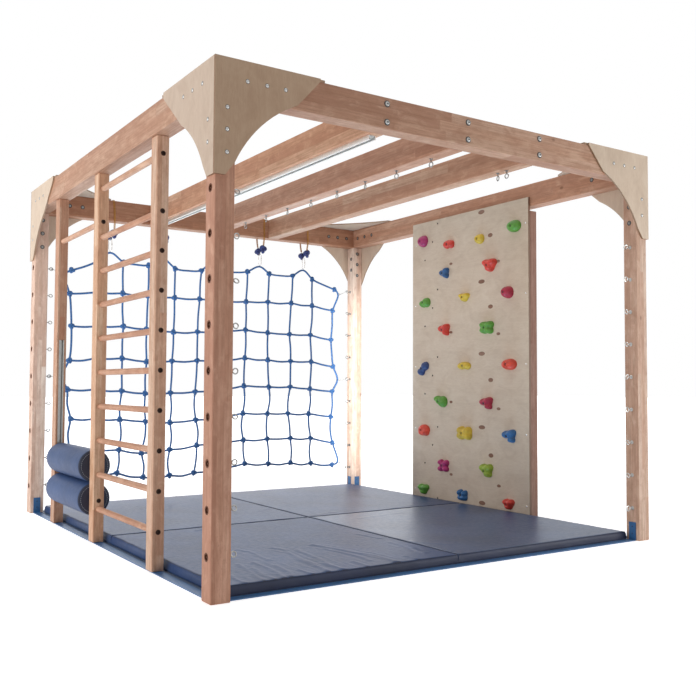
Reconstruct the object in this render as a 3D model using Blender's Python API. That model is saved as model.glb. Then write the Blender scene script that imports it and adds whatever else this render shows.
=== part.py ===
"""Sensory play structure: a timber frame with ladder, squeeze rollers, net, climbing panel and mats.

Every size is in metres. The sizes below are measured from the outer lower corner of the front
left post, X along the front, Y towards the back, Z up. At the end they are moved so that the
origin is at the middle of the footprint, on the floor.
"""
import math

import bmesh
import bpy
from mathutils import Matrix, Vector

for old in list(bpy.data.objects):
    bpy.data.objects.remove(old, do_unlink=True)

# Frame
WIDTH = 2.767
DEPTH = 3.045
POST = 0.090
BEAM_WIDTH = 0.090
BEAM_HEIGHT = 0.150
BEAM_BOTTOM = 2.090
CHAMFER = 0.003
GAP = 0.0003
BEAM_TOP = BEAM_BOTTOM + BEAM_HEIGHT

# Cross beams, by the middle of the first along X and the step to the next
CROSS_FIRST = 0.874
CROSS_PITCH = 0.5045
CROSS_COUNT = 3
CROSS_BEAMS = [CROSS_FIRST + CROSS_PITCH * i for i in range(CROSS_COUNT)]
TRACK_WIDTH = 0.040
TRACK_HEIGHT = 0.022
TRACK_WALL = 0.0025
TRACK_LIP = 0.010
TRACK_END = 0.030

# Plywood at the corners
PLATE = 0.010
PLATE_DROP = 0.495
GUSSET_X = 0.530
GUSSET_Y = 0.600
GUSSET_SAG = 0.045
ARC_STEPS = 12
# Outline of a plate: reach along the beam, height of its square end, start and end of the arc
# (along the beam, down from the top), how far the arc bows, width of its foot
PLATE_ALONG_X = (0.5115, 0.013, (0.395, 0.143), (0.094, 0.439), 0.038, 0.051)
PLATE_ALONG_Y = (0.560, 0.028, (0.341, 0.210), (0.100, 0.447), 0.026, 0.066)

# Counterbored holes in the outer faces of the posts
HOLE = 0.015
HOLE_DEPTH = 0.014
HOLE_SIDES = 14
POST_HOLE_FIRST = 0.185
POST_HOLE_PITCH = 0.190
POST_HOLES = 9

# Base rails, flat bar with upturned ends
RAIL_WIDTH = 0.045
RAIL = 0.005
RAIL_TAB = 0.105

# Ladder and roller bay on the left side
LADDER_X = 0.060
LADDER_Y = 0.080
LADDER_START = (0.690, 1.592, 2.407)
RUNG = 0.016
RUNG_SIDES = 16
RUNG_FIRST = 0.190
RUNG_PITCH = 0.1915
RUNGS_EVEN = 9
RUNG_TOP = 2.002
RUNG_BAY_TOP = 1.812
LADDER_HOLE = 0.011
LADDER_MIDDLE = BEAM_WIDTH / 2.0

ROLLER = 0.0935
ROLLER_CLEAR_NEAR = 0.004
ROLLER_CLEAR_FAR = 0.036
ROLLER_SHOULDER = 0.010
ROLLER_SIDES = 28
ROLLER_LOW = 0.2365
ROLLER_SPACE = 0.0005
ROLLER_REST = ROLLER_LOW + 2.0 * ROLLER + ROLLER_SPACE
AXLE = 0.0065
AXLE_SPACE = 0.00008
AXLE_SIDES = 16
AXLE_SUNK = 0.020
ROLLER_BORE = (AXLE + AXLE_SPACE) / math.cos(math.pi / ROLLER_SIDES)

CHANNEL_WIDTH = 0.032
CHANNEL_DEPTH = 0.014
CHANNEL_WALL = 0.002
CHANNEL_LIP = 0.008
CHANNEL_LOW = 0.340
CHANNEL_HIGH = 1.173
STOP_HIGH = 1.324
SLIDER_HEIGHT = 0.040

# Climbing panel on the right side
PANEL = 0.018
PANEL_START = 0.845
PANEL_WIDTH = 1.243
PANEL_LOW = 0.010
PANEL_HIGH = 2.150
BATTEN_X = 0.060
BATTEN_Y = 0.070
BATTEN_DROP = 0.030
# Each hold: along Y, height, radius along Y, radius along Z, how far it stands out
HOLDS = (
    (1.951, 2.004, 0.051, 0.045, 0.045), (1.644, 1.940, 0.053, 0.032, 0.040),
    (1.312, 1.933, 0.043, 0.035, 0.042), (0.968, 1.972, 0.059, 0.041, 0.050),
    (1.693, 1.729, 0.043, 0.040, 0.045), (1.203, 1.732, 0.062, 0.045, 0.055),
    (1.922, 1.527, 0.053, 0.037, 0.045), (1.472, 1.529, 0.049, 0.031, 0.045),
    (1.025, 1.527, 0.042, 0.042, 0.070), (1.694, 1.306, 0.053, 0.044, 0.050),
    (1.235, 1.298, 0.061, 0.045, 0.050), (1.942, 1.021, 0.055, 0.053, 0.045),
    (1.477, 1.035, 0.064, 0.029, 0.038), (1.017, 1.036, 0.063, 0.038, 0.055),
    (1.734, 0.773, 0.063, 0.043, 0.048), (1.242, 0.770, 0.056, 0.043, 0.050),
    (1.935, 0.552, 0.059, 0.043, 0.050), (1.468, 0.551, 0.067, 0.049, 0.055),
    (1.020, 0.553, 0.056, 0.045, 0.050), (1.705, 0.300, 0.053, 0.045, 0.042),
    (1.244, 0.302, 0.058, 0.047, 0.050), (1.941, 0.104, 0.058, 0.038, 0.042),
    (1.493, 0.106, 0.044, 0.040, 0.045), (1.027, 0.094, 0.048, 0.035, 0.045),
)
HOLD_SIDES = 10
HOLD_CROWN = 0.62
HOLD_LIFT = 0.10
HOLD_RIM = 0.45

# Climbing net at the back
NET_ROPE = 0.012
NET_FIRST = 0.254
NET_PITCH_X = 0.204
NET_COLUMNS = 12
NET_LOW = 0.243
NET_PITCH_Z = 0.2225
NET_ROWS = 8
NET_HANGERS = (1, 3, 5, 7, 9)

# Floor mats
MAT = 0.050
MAT_EDGE = 0.008
MAT_LEFT = 0.094
MAT_FRONT = 0.074
MAT_BACK = 0.096

# The origin is at the middle of the footprint, which the rollers and the plates give
LEFTMOST = LADDER_MIDDLE - ROLLER
RIGHTMOST = WIDTH + GAP + PLATE
SHIFT = Vector((-(LEFTMOST + RIGHTMOST) / 2.0, -DEPTH / 2.0, 0.0))

COLOURS = {
    "timber": (0.52, 0.31, 0.19, 1.0),
    "birch": (0.66, 0.53, 0.37, 1.0),
    "steel": (0.45, 0.46, 0.48, 1.0),
    "blue": (0.03, 0.16, 0.42, 1.0),
    "vinyl": (0.03, 0.05, 0.12, 1.0),
    "rope": (0.02, 0.08, 0.33, 1.0),
}
METAL = {"steel": 1.0, "blue": 0.0}
ROUGH = {"timber": 0.55, "birch": 0.5, "steel": 0.3, "blue": 0.35, "vinyl": 0.4, "rope": 0.8}


def finish(name, shape, look, origin=(0.0, 0.0, 0.0)):
    """Make one object from a mesh in frame sizes, with its own origin and its own material."""
    start = Vector(origin)
    bmesh.ops.translate(shape, verts=shape.verts, vec=-start)
    bmesh.ops.recalc_face_normals(shape, faces=shape.faces)
    mesh = bpy.data.meshes.new(name)
    shape.to_mesh(mesh)
    shape.free()
    body = bpy.data.objects.new(name, mesh)
    body.location = start + SHIFT
    bpy.context.scene.collection.objects.link(body)
    material = bpy.data.materials.new(name)
    material.use_nodes = True
    surface = material.node_tree.nodes["Principled BSDF"]
    surface.inputs["Base Color"].default_value = COLOURS[look]
    surface.inputs["Metallic"].default_value = METAL.get(look, 0.0)
    surface.inputs["Roughness"].default_value = ROUGH[look]
    mesh.materials.append(material)
    return body


def add_block(shape, low, high, edge=0.0):
    """Add a box between two corners, with its edges broken by a chamfer."""
    size = [b - a for a, b in zip(low, high)]
    middle = [(a + b) / 2.0 for a, b in zip(low, high)]
    place = Matrix.Translation(middle) @ Matrix.Diagonal((*size, 1.0))
    made = bmesh.ops.create_cube(shape, size=1.0, matrix=place)
    if edge:
        edges = list({e for v in made["verts"] for e in v.link_edges})
        bmesh.ops.bevel(shape, geom=edges, offset=edge, segments=1, affect="EDGES", profile=0.5)


def block(name, low, high, look, edge=0.0):
    """Make a box as an object."""
    shape = bmesh.new()
    add_block(shape, low, high, edge)
    return finish(name, shape, look)


def add_prism(shape, outline, axis, start, end):
    """Add a flat outline, drawn in the other two axes, as a solid between two places on an axis."""
    def point(pair, value):
        coords = list(pair)
        coords.insert("xyz".index(axis), value)
        return shape.verts.new(coords)

    near = [point(pair, start) for pair in outline]
    far = [point(pair, end) for pair in outline]
    shape.faces.new(near)
    shape.faces.new(list(reversed(far)))
    count = len(outline)
    for i in range(count):
        j = (i + 1) % count
        shape.faces.new((near[j], near[i], far[i], far[j]))


def prism(name, outline, axis, start, end, look):
    """Make an outline with a thickness as an object."""
    shape = bmesh.new()
    add_prism(shape, outline, axis, start, end)
    return finish(name, shape, look)


def circle(middle, radius, sides):
    """Corners of a regular polygon."""
    turn = 2.0 * math.pi / sides
    return [
        (middle[0] + radius * math.cos(turn * i), middle[1] + radius * math.sin(turn * i))
        for i in range(sides)
    ]


def add_turned(shape, profile, middle, sides):
    """Add a body turned about a line along Y; the profile is a closed ring of (radius, y)."""
    rings = []
    for radius, along in profile:
        rings.append([
            shape.verts.new((a, along, b)) for a, b in circle(middle, radius, sides)
        ])
    for k, ring in enumerate(rings):
        other = rings[(k + 1) % len(rings)]
        for i in range(sides):
            j = (i + 1) % sides
            shape.faces.new((ring[i], ring[j], other[j], other[i]))


def cut_holes(body, name, holes):
    """Cut round holes; each is (axis, centre in the other two axes, start, end, radius)."""
    shape = bmesh.new()
    for axis, middle, start, end, radius in holes:
        add_prism(shape, circle(middle, radius, HOLE_SIDES), axis, start, end)
    cutter = finish(name, shape, "steel")
    cutter.hide_render = True
    cutter.display_type = "WIRE"
    cut = body.modifiers.new("holes", "BOOLEAN")
    cut.operation = "DIFFERENCE"
    cut.solver = "EXACT"
    cut.object = cutter


def arc(start, end, sag, steps):
    """Points between two corners on an arc that bows to the left of the line between them."""
    a = Vector(start)
    b = Vector(end)
    chord = b - a
    radius = chord.length_squared / (8.0 * sag) + sag / 2.0
    side = Vector((-chord.y, chord.x)).normalized()
    middle = (a + b) / 2.0 + side * (sag - radius)
    half = math.asin(chord.length / (2.0 * radius))
    points = []
    for i in range(1, steps):
        angle = -half + 2.0 * half * i / steps
        points.append(middle + side * radius * math.cos(angle)
                      + chord.normalized() * radius * math.sin(angle))
    return [(p.x, p.y) for p in points]


def plate_outline(sizes, offset, outer, sign):
    """Outline of an upright corner plate in (along the beam, height)."""
    reach, square, begin, end, sag, foot = sizes
    corners = [(0.0, 0.0), (reach, 0.0), (reach, square), begin]
    corners += [(a, -b) for a, b in arc((begin[0], -begin[1]), (end[0], -end[1]), -sag, ARC_STEPS)]
    corners += [end, (foot, PLATE_DROP), (0.0, PLATE_DROP)]
    top = BEAM_TOP + PLATE
    return [(outer + sign * (a - offset), top - b) for a, b in corners]


# Corner posts, with nine counterbored holes each
left_in = POST
right_in = WIDTH - POST
back_in = DEPTH - POST
post_low = {"left": 0.0, "right": right_in, "front": 0.0, "back": back_in}
for row in ("front", "back"):
    for side in ("left", "right"):
        x0 = post_low[side]
        y0 = post_low[row]
        name = f"post_{row}_{side}"
        body = block(name, (x0, y0, 0.0), (x0 + POST, y0 + POST, BEAM_BOTTOM - GAP), "timber", CHAMFER)
        ends = (-HOLE, HOLE_DEPTH) if side == "left" else (WIDTH - HOLE_DEPTH, WIDTH + HOLE)
        levels = [POST_HOLE_FIRST + POST_HOLE_PITCH * i for i in range(POST_HOLES)]
        cut_holes(body, f"cutter_{name}",
                  [("x", (y0 + POST / 2.0, z), ends[0], ends[1], HOLE) for z in levels])

# Perimeter beams: the front and back ones rest on the posts, the side ones fit between them
for row in ("front", "back"):
    y0 = post_low[row]
    block(f"beam_{row}", (0.0, y0, BEAM_BOTTOM), (WIDTH, y0 + BEAM_WIDTH, BEAM_TOP), "timber", CHAMFER)
beam_y0 = BEAM_WIDTH + GAP
beam_y1 = DEPTH - BEAM_WIDTH - GAP
for side in ("left", "right"):
    x0 = post_low[side]
    block(f"beam_{side}", (x0, beam_y0, BEAM_BOTTOM), (x0 + BEAM_WIDTH, beam_y1, BEAM_TOP), "timber", CHAMFER)

# Cross beams, and the trolley track under the first
for number, middle in enumerate(CROSS_BEAMS, start=1):
    low = (middle - BEAM_WIDTH / 2.0, beam_y0, BEAM_BOTTOM)
    high = (middle + BEAM_WIDTH / 2.0, beam_y1, BEAM_TOP)
    block(f"cross_beam_{number}", low, high, "timber", CHAMFER)


def channel_outline(width, depth, wall, lip):
    """Section of a lipped channel: across its width, and away from its back."""
    half = width / 2.0
    return [
        (-half, 0.0), (half, 0.0), (half, depth), (half - lip, depth), (half - lip, depth - wall),
        (half - wall, depth - wall), (half - wall, wall), (wall - half, wall),
        (wall - half, depth - wall), (lip - half, depth - wall), (lip - half, depth), (-half, depth),
    ]


track_top = BEAM_BOTTOM - GAP
track = channel_outline(TRACK_WIDTH, TRACK_HEIGHT, TRACK_WALL, TRACK_LIP)
prism("trolley_track", [(CROSS_BEAMS[0] + a, track_top - b) for a, b in track], "y",
      beam_y0 + TRACK_END, beam_y1 - TRACK_END, "steel")

# Upright plywood plates outside each corner
for row in ("front", "back"):
    for side in ("left", "right"):
        out_x = 0.0 if side == "left" else WIDTH
        out_y = 0.0 if row == "front" else DEPTH
        sign_x = 1 if side == "left" else -1
        sign_y = 1 if row == "front" else -1
        face = sorted((out_y - sign_y * GAP, out_y - sign_y * (GAP + PLATE)))
        prism(f"plate_{row}_{side}_long", plate_outline(PLATE_ALONG_X, GAP + PLATE, out_x, sign_x),
              "y", face[0], face[1], "birch")
        face = sorted((out_x - sign_x * GAP, out_x - sign_x * (GAP + PLATE)))
        prism(f"plate_{row}_{side}_side", plate_outline(PLATE_ALONG_Y, 0.0, out_y, sign_y),
              "x", face[0], face[1], "birch")

        # Level gusset on top of the beams at the same corner
        ends = ((GUSSET_X, BEAM_WIDTH), (BEAM_WIDTH, GUSSET_Y))
        outline = [(0.0, 0.0), (GUSSET_X, 0.0), ends[0]]
        bowed = arc((ends[0][0], -ends[0][1]), (ends[1][0], -ends[1][1]), -GUSSET_SAG, ARC_STEPS)
        outline += [(a, -b) for a, b in bowed]
        outline += [ends[1], (0.0, GUSSET_Y)]
        prism(f"gusset_{row}_{side}", [(out_x + sign_x * a, out_y + sign_y * b) for a, b in outline],
              "z", BEAM_TOP + GAP, BEAM_TOP + PLATE, "birch")


def rail_outline(start, end):
    """Side view of a base rail: along its length, and height."""
    return [
        (start, 0.0), (end, 0.0), (end, RAIL_TAB), (end - RAIL, RAIL_TAB), (end - RAIL, RAIL),
        (start + RAIL, RAIL), (start + RAIL, RAIL_TAB), (start, RAIL_TAB),
    ]


rail_side = (POST - RAIL_WIDTH) / 2.0
for row in ("front", "back"):
    y0 = post_low[row] + rail_side
    prism(f"rail_{row}", rail_outline(left_in + GAP, right_in - GAP), "y", y0, y0 + RAIL_WIDTH, "blue")
for side in ("left", "right"):
    x0 = post_low[side] + rail_side
    prism(f"rail_{side}", rail_outline(left_in + GAP, back_in - GAP), "x", x0, x0 + RAIL_WIDTH, "blue")

# Ladder posts b (nearest), a and c; they stand on the left rail under the left beam
ladder_x0 = LADDER_MIDDLE - LADDER_X / 2.0
levels = [RUNG_FIRST + RUNG_PITCH * i for i in range(RUNGS_EVEN)] + [RUNG_TOP]
start_b, start_a, start_c = LADDER_START
ladder = {}
for letter, y0 in zip("bac", LADDER_START):
    low = (ladder_x0, y0, RAIL + GAP)
    high = (ladder_x0 + LADDER_X, y0 + LADDER_Y, BEAM_BOTTOM - GAP)
    ladder[letter] = block(f"ladder_post_{letter}", low, high, "timber", CHAMFER)


def hole_near(y0, z):
    """A counterbore in the near face of a ladder post."""
    return ("y", (LADDER_MIDDLE, z), y0 - HOLE, y0 + HOLE_DEPTH, LADDER_HOLE)


def hole_far(y0, z):
    """A counterbore in the far face of a ladder post."""
    return ("y", (LADDER_MIDDLE, z), y0 + LADDER_Y - HOLE_DEPTH, y0 + LADDER_Y + HOLE, LADDER_HOLE)


def axle_hole(start, end):
    """A round hole for the end of the lower axle."""
    return ("y", (LADDER_MIDDLE, ROLLER_LOW), start, end, AXLE + GAP)


cut_holes(ladder["b"], "cutter_ladder_post_b", [hole_near(start_b, z) for z in levels])
clear = [z for z in levels if z < CHANNEL_LOW - HOLE or z > STOP_HIGH + HOLE]
far_a = start_a + LADDER_Y
cut_holes(ladder["a"], "cutter_ladder_post_a",
          [hole_near(start_a, z) for z in (RUNG_BAY_TOP, ROLLER_LOW)]
          + [hole_far(start_a, z) for z in clear if abs(z - ROLLER_LOW) > 2.0 * HOLE]
          + [axle_hole(far_a - AXLE_SUNK - GAP, far_a + HOLE)])
cut_holes(ladder["c"], "cutter_ladder_post_c",
          [hole_far(start_c, z) for z in (RUNG_BAY_TOP, ROLLER_LOW)]
          + [axle_hole(start_c - HOLE, start_c + AXLE_SUNK + GAP)])

# Grooves for the guide channels, and a stop block above each
groove_half = CHANNEL_WIDTH / 2.0 + GAP
for letter, face, way in (("a", far_a, -1), ("c", start_c, 1)):
    shape = bmesh.new()
    depths = sorted((face - way * HOLE, face + way * (CHANNEL_DEPTH + GAP)))
    add_block(shape, (LADDER_MIDDLE - groove_half, depths[0], CHANNEL_LOW - GAP),
              (LADDER_MIDDLE + groove_half, depths[1], STOP_HIGH + GAP))
    groove = finish(f"cutter_groove_{letter}", shape, "steel")
    groove.hide_render = True
    groove.display_type = "WIRE"
    cut = ladder[letter].modifiers.new("groove", "BOOLEAN")
    cut.operation = "DIFFERENCE"
    cut.solver = "EXACT"
    cut.object = groove
    section = channel_outline(CHANNEL_WIDTH, CHANNEL_DEPTH, CHANNEL_WALL, CHANNEL_LIP)
    back = face + way * CHANNEL_DEPTH
    prism(f"guide_channel_{letter}", [(LADDER_MIDDLE + a, back - way * b) for a, b in section], "z",
          CHANNEL_LOW, CHANNEL_HIGH, "steel")
    depths = sorted((face, back))
    block(f"stop_block_{letter}", (LADDER_MIDDLE - CHANNEL_WIDTH / 2.0, depths[0], CHANNEL_HIGH + GAP),
          (LADDER_MIDDLE + CHANNEL_WIDTH / 2.0, depths[1], STOP_HIGH), "timber")

# Rungs
for number, z in enumerate(levels, start=1):
    prism(f"rung_{number:02d}", circle((LADDER_MIDDLE, z), RUNG, RUNG_SIDES), "y",
          start_b + LADDER_Y + GAP, start_a - GAP, "timber")
prism("rung_bay_top", circle((LADDER_MIDDLE, RUNG_BAY_TOP), RUNG, RUNG_SIDES), "y",
      far_a + GAP, start_c - GAP, "timber")

# Squeeze rollers on their axles; each turns about its axle and the upper pair slides up
roller_y0 = far_a + ROLLER_CLEAR_NEAR
roller_y1 = start_c - ROLLER_CLEAR_FAR
roller_mid = (roller_y0 + roller_y1) / 2.0
half_profile = (
    (ROLLER_BORE, 0.002), (ROLLER * 0.35, 0.0), (ROLLER - ROLLER_SHOULDER, 0.001),
    (ROLLER - ROLLER_SHOULDER * 0.3, ROLLER_SHOULDER * 0.4), (ROLLER, ROLLER_SHOULDER),
)
for name, height in (("lower", ROLLER_LOW), ("upper", ROLLER_REST)):
    profile = [(r, roller_y0 + d) for r, d in half_profile]
    profile += [(r, roller_y1 - d) for r, d in reversed(half_profile)]
    shape = bmesh.new()
    add_turned(shape, profile, (LADDER_MIDDLE, height), ROLLER_SIDES)
    finish(f"roller_{name}", shape, "vinyl", (LADDER_MIDDLE, roller_mid, height))

prism("roller_axle_lower", circle((LADDER_MIDDLE, ROLLER_LOW), AXLE, AXLE_SIDES), "y",
      far_a - AXLE_SUNK, start_c + AXLE_SUNK, "steel")

# The upper axle carries a slider block at each end, held in its guide channel
slider_half = CHANNEL_WIDTH / 2.0 - CHANNEL_WALL - GAP
slider_deep = CHANNEL_DEPTH - 2.0 * CHANNEL_WALL - 2.0 * GAP
channel_back = CHANNEL_DEPTH - CHANNEL_WALL - GAP
rod = circle((LADDER_MIDDLE, ROLLER_REST), AXLE, AXLE_SIDES)
square = [
    (LADDER_MIDDLE + sx * slider_half, ROLLER_REST + sz * SLIDER_HEIGHT / 2.0)
    for sx, sz in ((1, 1), (-1, 1), (-1, -1), (1, -1))
]
shape = bmesh.new()
near_face = far_a - channel_back
far_face = start_c + channel_back
stations = (near_face, near_face + slider_deep, far_face - slider_deep, far_face)
rings = [[shape.verts.new((a, y, b)) for a, b in square] for y in stations]
rods = [[shape.verts.new((a, y, b)) for a, b in rod] for y in stations[1:3]]
shape.faces.new(rings[0])
shape.faces.new(rings[3])
for first, second in ((rings[0], rings[1]), (rings[2], rings[3]), (rods[0], rods[1])):
    count = len(first)
    for i in range(count):
        j = (i + 1) % count
        shape.faces.new((first[i], first[j], second[j], second[i]))
quarter = AXLE_SIDES // 4
shift = AXLE_SIDES // 8
for square_ring, rod_ring in ((rings[1], rods[0]), (rings[2], rods[1])):
    for i in range(4):
        j = (i + 1) % 4
        steps = [rod_ring[(shift + i * quarter + k) % AXLE_SIDES] for k in range(quarter + 1)]
        shape.faces.new([square_ring[i]] + steps + [square_ring[j]])
finish("roller_axle_upper", shape, "steel", (LADDER_MIDDLE, roller_mid, ROLLER_REST))

# Climbing panel with its holds, fastened to the right beam and to two battens on the rail
panel_back = right_in - GAP
panel_front = panel_back - PANEL
shape = bmesh.new()
add_block(shape, (panel_front, PANEL_START, PANEL_LOW),
          (panel_back, PANEL_START + PANEL_WIDTH, PANEL_HIGH))
panel = finish("climbing_panel", shape, "birch")
shape = bmesh.new()
for y, z, wide, tall, out in HOLDS:
    rim = [(y + wide * a, z + tall * b) for a, b in circle((0.0, 0.0), 1.0, HOLD_SIDES)]
    crown = [
        (y + wide * HOLD_CROWN * a, z + tall * (HOLD_CROWN * b + HOLD_LIFT))
        for a, b in circle((0.0, 0.0), 1.0, HOLD_SIDES)
    ]
    layers = (
        [shape.verts.new((panel_front + PANEL / 2.0, a, b)) for a, b in rim],
        [shape.verts.new((panel_front - out * HOLD_RIM, a, b)) for a, b in rim],
        [shape.verts.new((panel_front - out, a, b)) for a, b in crown],
    )
    for first, second in zip(layers, layers[1:]):
        for i in range(HOLD_SIDES):
            j = (i + 1) % HOLD_SIDES
            shape.faces.new((first[i], first[j], second[j], second[i]))
    shape.faces.new(layers[0])
    shape.faces.new(layers[2])
holds = finish("guide_holds", shape, "birch")
holds.hide_render = True
holds.display_type = "WIRE"
join = panel.modifiers.new("holds", "BOOLEAN")
join.operation = "UNION"
join.solver = "EXACT"
join.object = holds

for name, y0 in (("near", PANEL_START), ("far", PANEL_START + PANEL_WIDTH - BATTEN_Y)):
    block(f"panel_batten_{name}", (right_in, y0, RAIL + GAP),
          (right_in + BATTEN_X, y0 + BATTEN_Y, BEAM_BOTTOM - BATTEN_DROP), "timber", CHAMFER)

# Climbing net: ropes as one lattice, with five hangers up to the back beam
half = NET_ROPE / 2.0
columns = [NET_FIRST + NET_PITCH_X * i for i in range(NET_COLUMNS)]
rows = [NET_LOW + NET_PITCH_Z * i for i in range(NET_ROWS)]
hangers = [columns[i] + NET_PITCH_X / 2.0 for i in NET_HANGERS]
breaks_x = sorted(x + d for x in columns + hangers for d in (-half, half))
breaks_z = sorted([z + d for z in rows for d in (-half, half)] + [BEAM_BOTTOM - GAP])
net_y = DEPTH - BEAM_WIDTH / 2.0


def filled(x, z):
    """Whether the net has rope at a place."""
    if z > rows[-1] + half:
        return any(abs(x - h) < half for h in hangers)
    return any(abs(x - c) < half for c in columns) or any(abs(z - r) < half for r in rows)


cells = {}
for i, (xa, xb) in enumerate(zip(breaks_x, breaks_x[1:])):
    for k, (za, zb) in enumerate(zip(breaks_z, breaks_z[1:])):
        if filled((xa + xb) / 2.0, (za + zb) / 2.0):
            cells[(i, k)] = (xa, xb, za, zb)
shape = bmesh.new()
corner = {}


def net_vertex(i, k, side):
    """One shared corner of the lattice."""
    key = (i, k, side)
    if key not in corner:
        corner[key] = shape.verts.new((breaks_x[i], net_y + side * half, breaks_z[k]))
    return corner[key]


for i, k in cells:
    for side in (-1, 1):
        shape.faces.new([net_vertex(a, b, side) for a, b in ((i, k), (i + 1, k), (i + 1, k + 1), (i, k + 1))])
    for di, dk, first, second in (
        (-1, 0, (i, k), (i, k + 1)), (1, 0, (i + 1, k), (i + 1, k + 1)),
        (0, -1, (i, k), (i + 1, k)), (0, 1, (i, k + 1), (i + 1, k + 1)),
    ):
        if (i + di, k + dk) not in cells:
            shape.faces.new((net_vertex(*first, -1), net_vertex(*second, -1),
                             net_vertex(*second, 1), net_vertex(*first, 1)))
finish("climbing_net", shape, "rope")

# Four floor mats inside the rails
mat_end_y = DEPTH - MAT_BACK
mat_end_x = panel_front - GAP
mid_x = (MAT_LEFT + mat_end_x) / 2.0
mid_y = DEPTH / 2.0
half = GAP / 2.0
for row, y0, y1 in (("front", MAT_FRONT, mid_y - half), ("back", mid_y + half, mat_end_y)):
    for side, x0, x1 in (("left", MAT_LEFT, mid_x - half), ("right", mid_x + half, mat_end_x)):
        block(f"mat_{row}_{side}", (x0, y0, 0.0), (x1, y1, MAT), "vinyl", MAT_EDGE)
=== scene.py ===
"""Looks of the sensory play structure: camera, light, materials, ropes, fittings, holds and pads.

Sizes are in metres, but for the tables that say millimetres. Places are written in the sizes of
part.py, measured from the outer lower corner of the front left post, and moved by SHIFT into the
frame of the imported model.
"""
import math
import random

import bmesh
import bpy
from mathutils import Matrix, Vector, noise


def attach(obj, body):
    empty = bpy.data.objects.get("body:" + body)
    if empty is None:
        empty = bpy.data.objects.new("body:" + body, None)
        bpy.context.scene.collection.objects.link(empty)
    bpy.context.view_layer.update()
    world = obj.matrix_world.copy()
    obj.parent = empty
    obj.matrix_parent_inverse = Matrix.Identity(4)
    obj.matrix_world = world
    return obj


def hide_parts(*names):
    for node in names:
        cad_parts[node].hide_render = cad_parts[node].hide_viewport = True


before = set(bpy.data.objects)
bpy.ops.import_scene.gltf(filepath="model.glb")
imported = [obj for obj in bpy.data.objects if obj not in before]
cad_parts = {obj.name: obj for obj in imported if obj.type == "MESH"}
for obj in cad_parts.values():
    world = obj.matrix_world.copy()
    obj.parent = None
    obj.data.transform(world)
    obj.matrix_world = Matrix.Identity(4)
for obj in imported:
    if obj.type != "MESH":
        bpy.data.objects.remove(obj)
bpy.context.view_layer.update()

# Sizes of part.py
SHIFT = Vector((-1.3644, -1.5225, 0.0))
WIDTH = 2.767
DEPTH = 3.045
POST = 0.09
BEAM_BOTTOM = 2.09
BEAM_TOP = 2.24
PLATE_FACE = 0.0103
CROSS_BEAMS = (0.874, 1.3785, 1.883)
LADDER_X = 0.045
LADDER_STARTS = (0.69, 1.592, 2.407)
LADDER_ENDS = [start + 0.08 for start in LADDER_STARTS]
LEVELS = [0.19 + 0.1915 * i for i in range(9)] + [2.002]
RUNG_BAY_TOP = 1.812
RUNG = 0.016
ROLLER = 0.0935
ROLLER_LOW = 0.2365
ROLLER_REST = 0.424
POST_LEVELS = [0.185 + 0.19 * i for i in range(9)]
BORE_FLOOR = 0.0138
NET_Y = 3.0
PANEL_FACE = 2.6587
PANEL_BACK = 2.6767
PANEL_Y = (0.845, 2.088)
PANEL_Z = (0.01, 2.15)
CORNERS = [(row, side) for row in ("front", "back") for side in ("left", "right")]
X, Y, Z = Vector((1.0, 0.0, 0.0)), Vector((0.0, 1.0, 0.0)), Vector((0.0, 0.0, 1.0))
WHITE = (1.0, 1.0, 1.0)


def at(x, y, z):
    """A place in the sizes of part.py, in the frame of the model."""
    return Vector((x, y, z)) + SHIFT


def x_from(side, way):
    """X at a way in from the outer face of the left or right posts."""
    return way if side == "left" else WIDTH - way


def y_from(row, way):
    """Y at a way in from the outer face of the front or back posts."""
    return way if row == "front" else DEPTH - way


def inward(place):
    """Which way is inwards: 1.0 at the left and the front, -1.0 at the right and the back."""
    return 1.0 if place in ("left", "front") else -1.0


def link(name, data):
    """An object for a mesh, lamp or camera, in the scene."""
    made = bpy.data.objects.new(name, data)
    bpy.context.scene.collection.objects.link(made)
    return made


def place_camera():
    """The camera at the photograph's place and angle."""
    data = bpy.data.cameras.new("camera")
    data.sensor_fit = "HORIZONTAL"
    data.sensor_width = 36.0
    data.lens = 36.0 * 856.985 / 696.0
    data.clip_start = 0.05
    data.clip_end = 100.0
    camera = link("camera", data)
    yaw, pitch, roll = math.radians(56.3579), math.radians(2.5515), math.radians(0.2439)
    ahead = Vector((math.cos(yaw) * math.cos(pitch), math.sin(yaw) * math.cos(pitch), math.sin(pitch)))
    level = Vector((math.sin(yaw), -math.cos(yaw), 0.0))
    upward = level.cross(ahead)
    right = math.cos(roll) * level + math.sin(roll) * upward
    up = math.cos(roll) * upward - math.sin(roll) * level
    turn = Matrix((right, up, -ahead)).transposed().to_4x4()
    camera.matrix_world = Matrix.Translation(at(-1.4745, -3.2069, 0.8839)) @ turn
    bpy.context.scene.camera = camera


place_camera()


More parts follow.
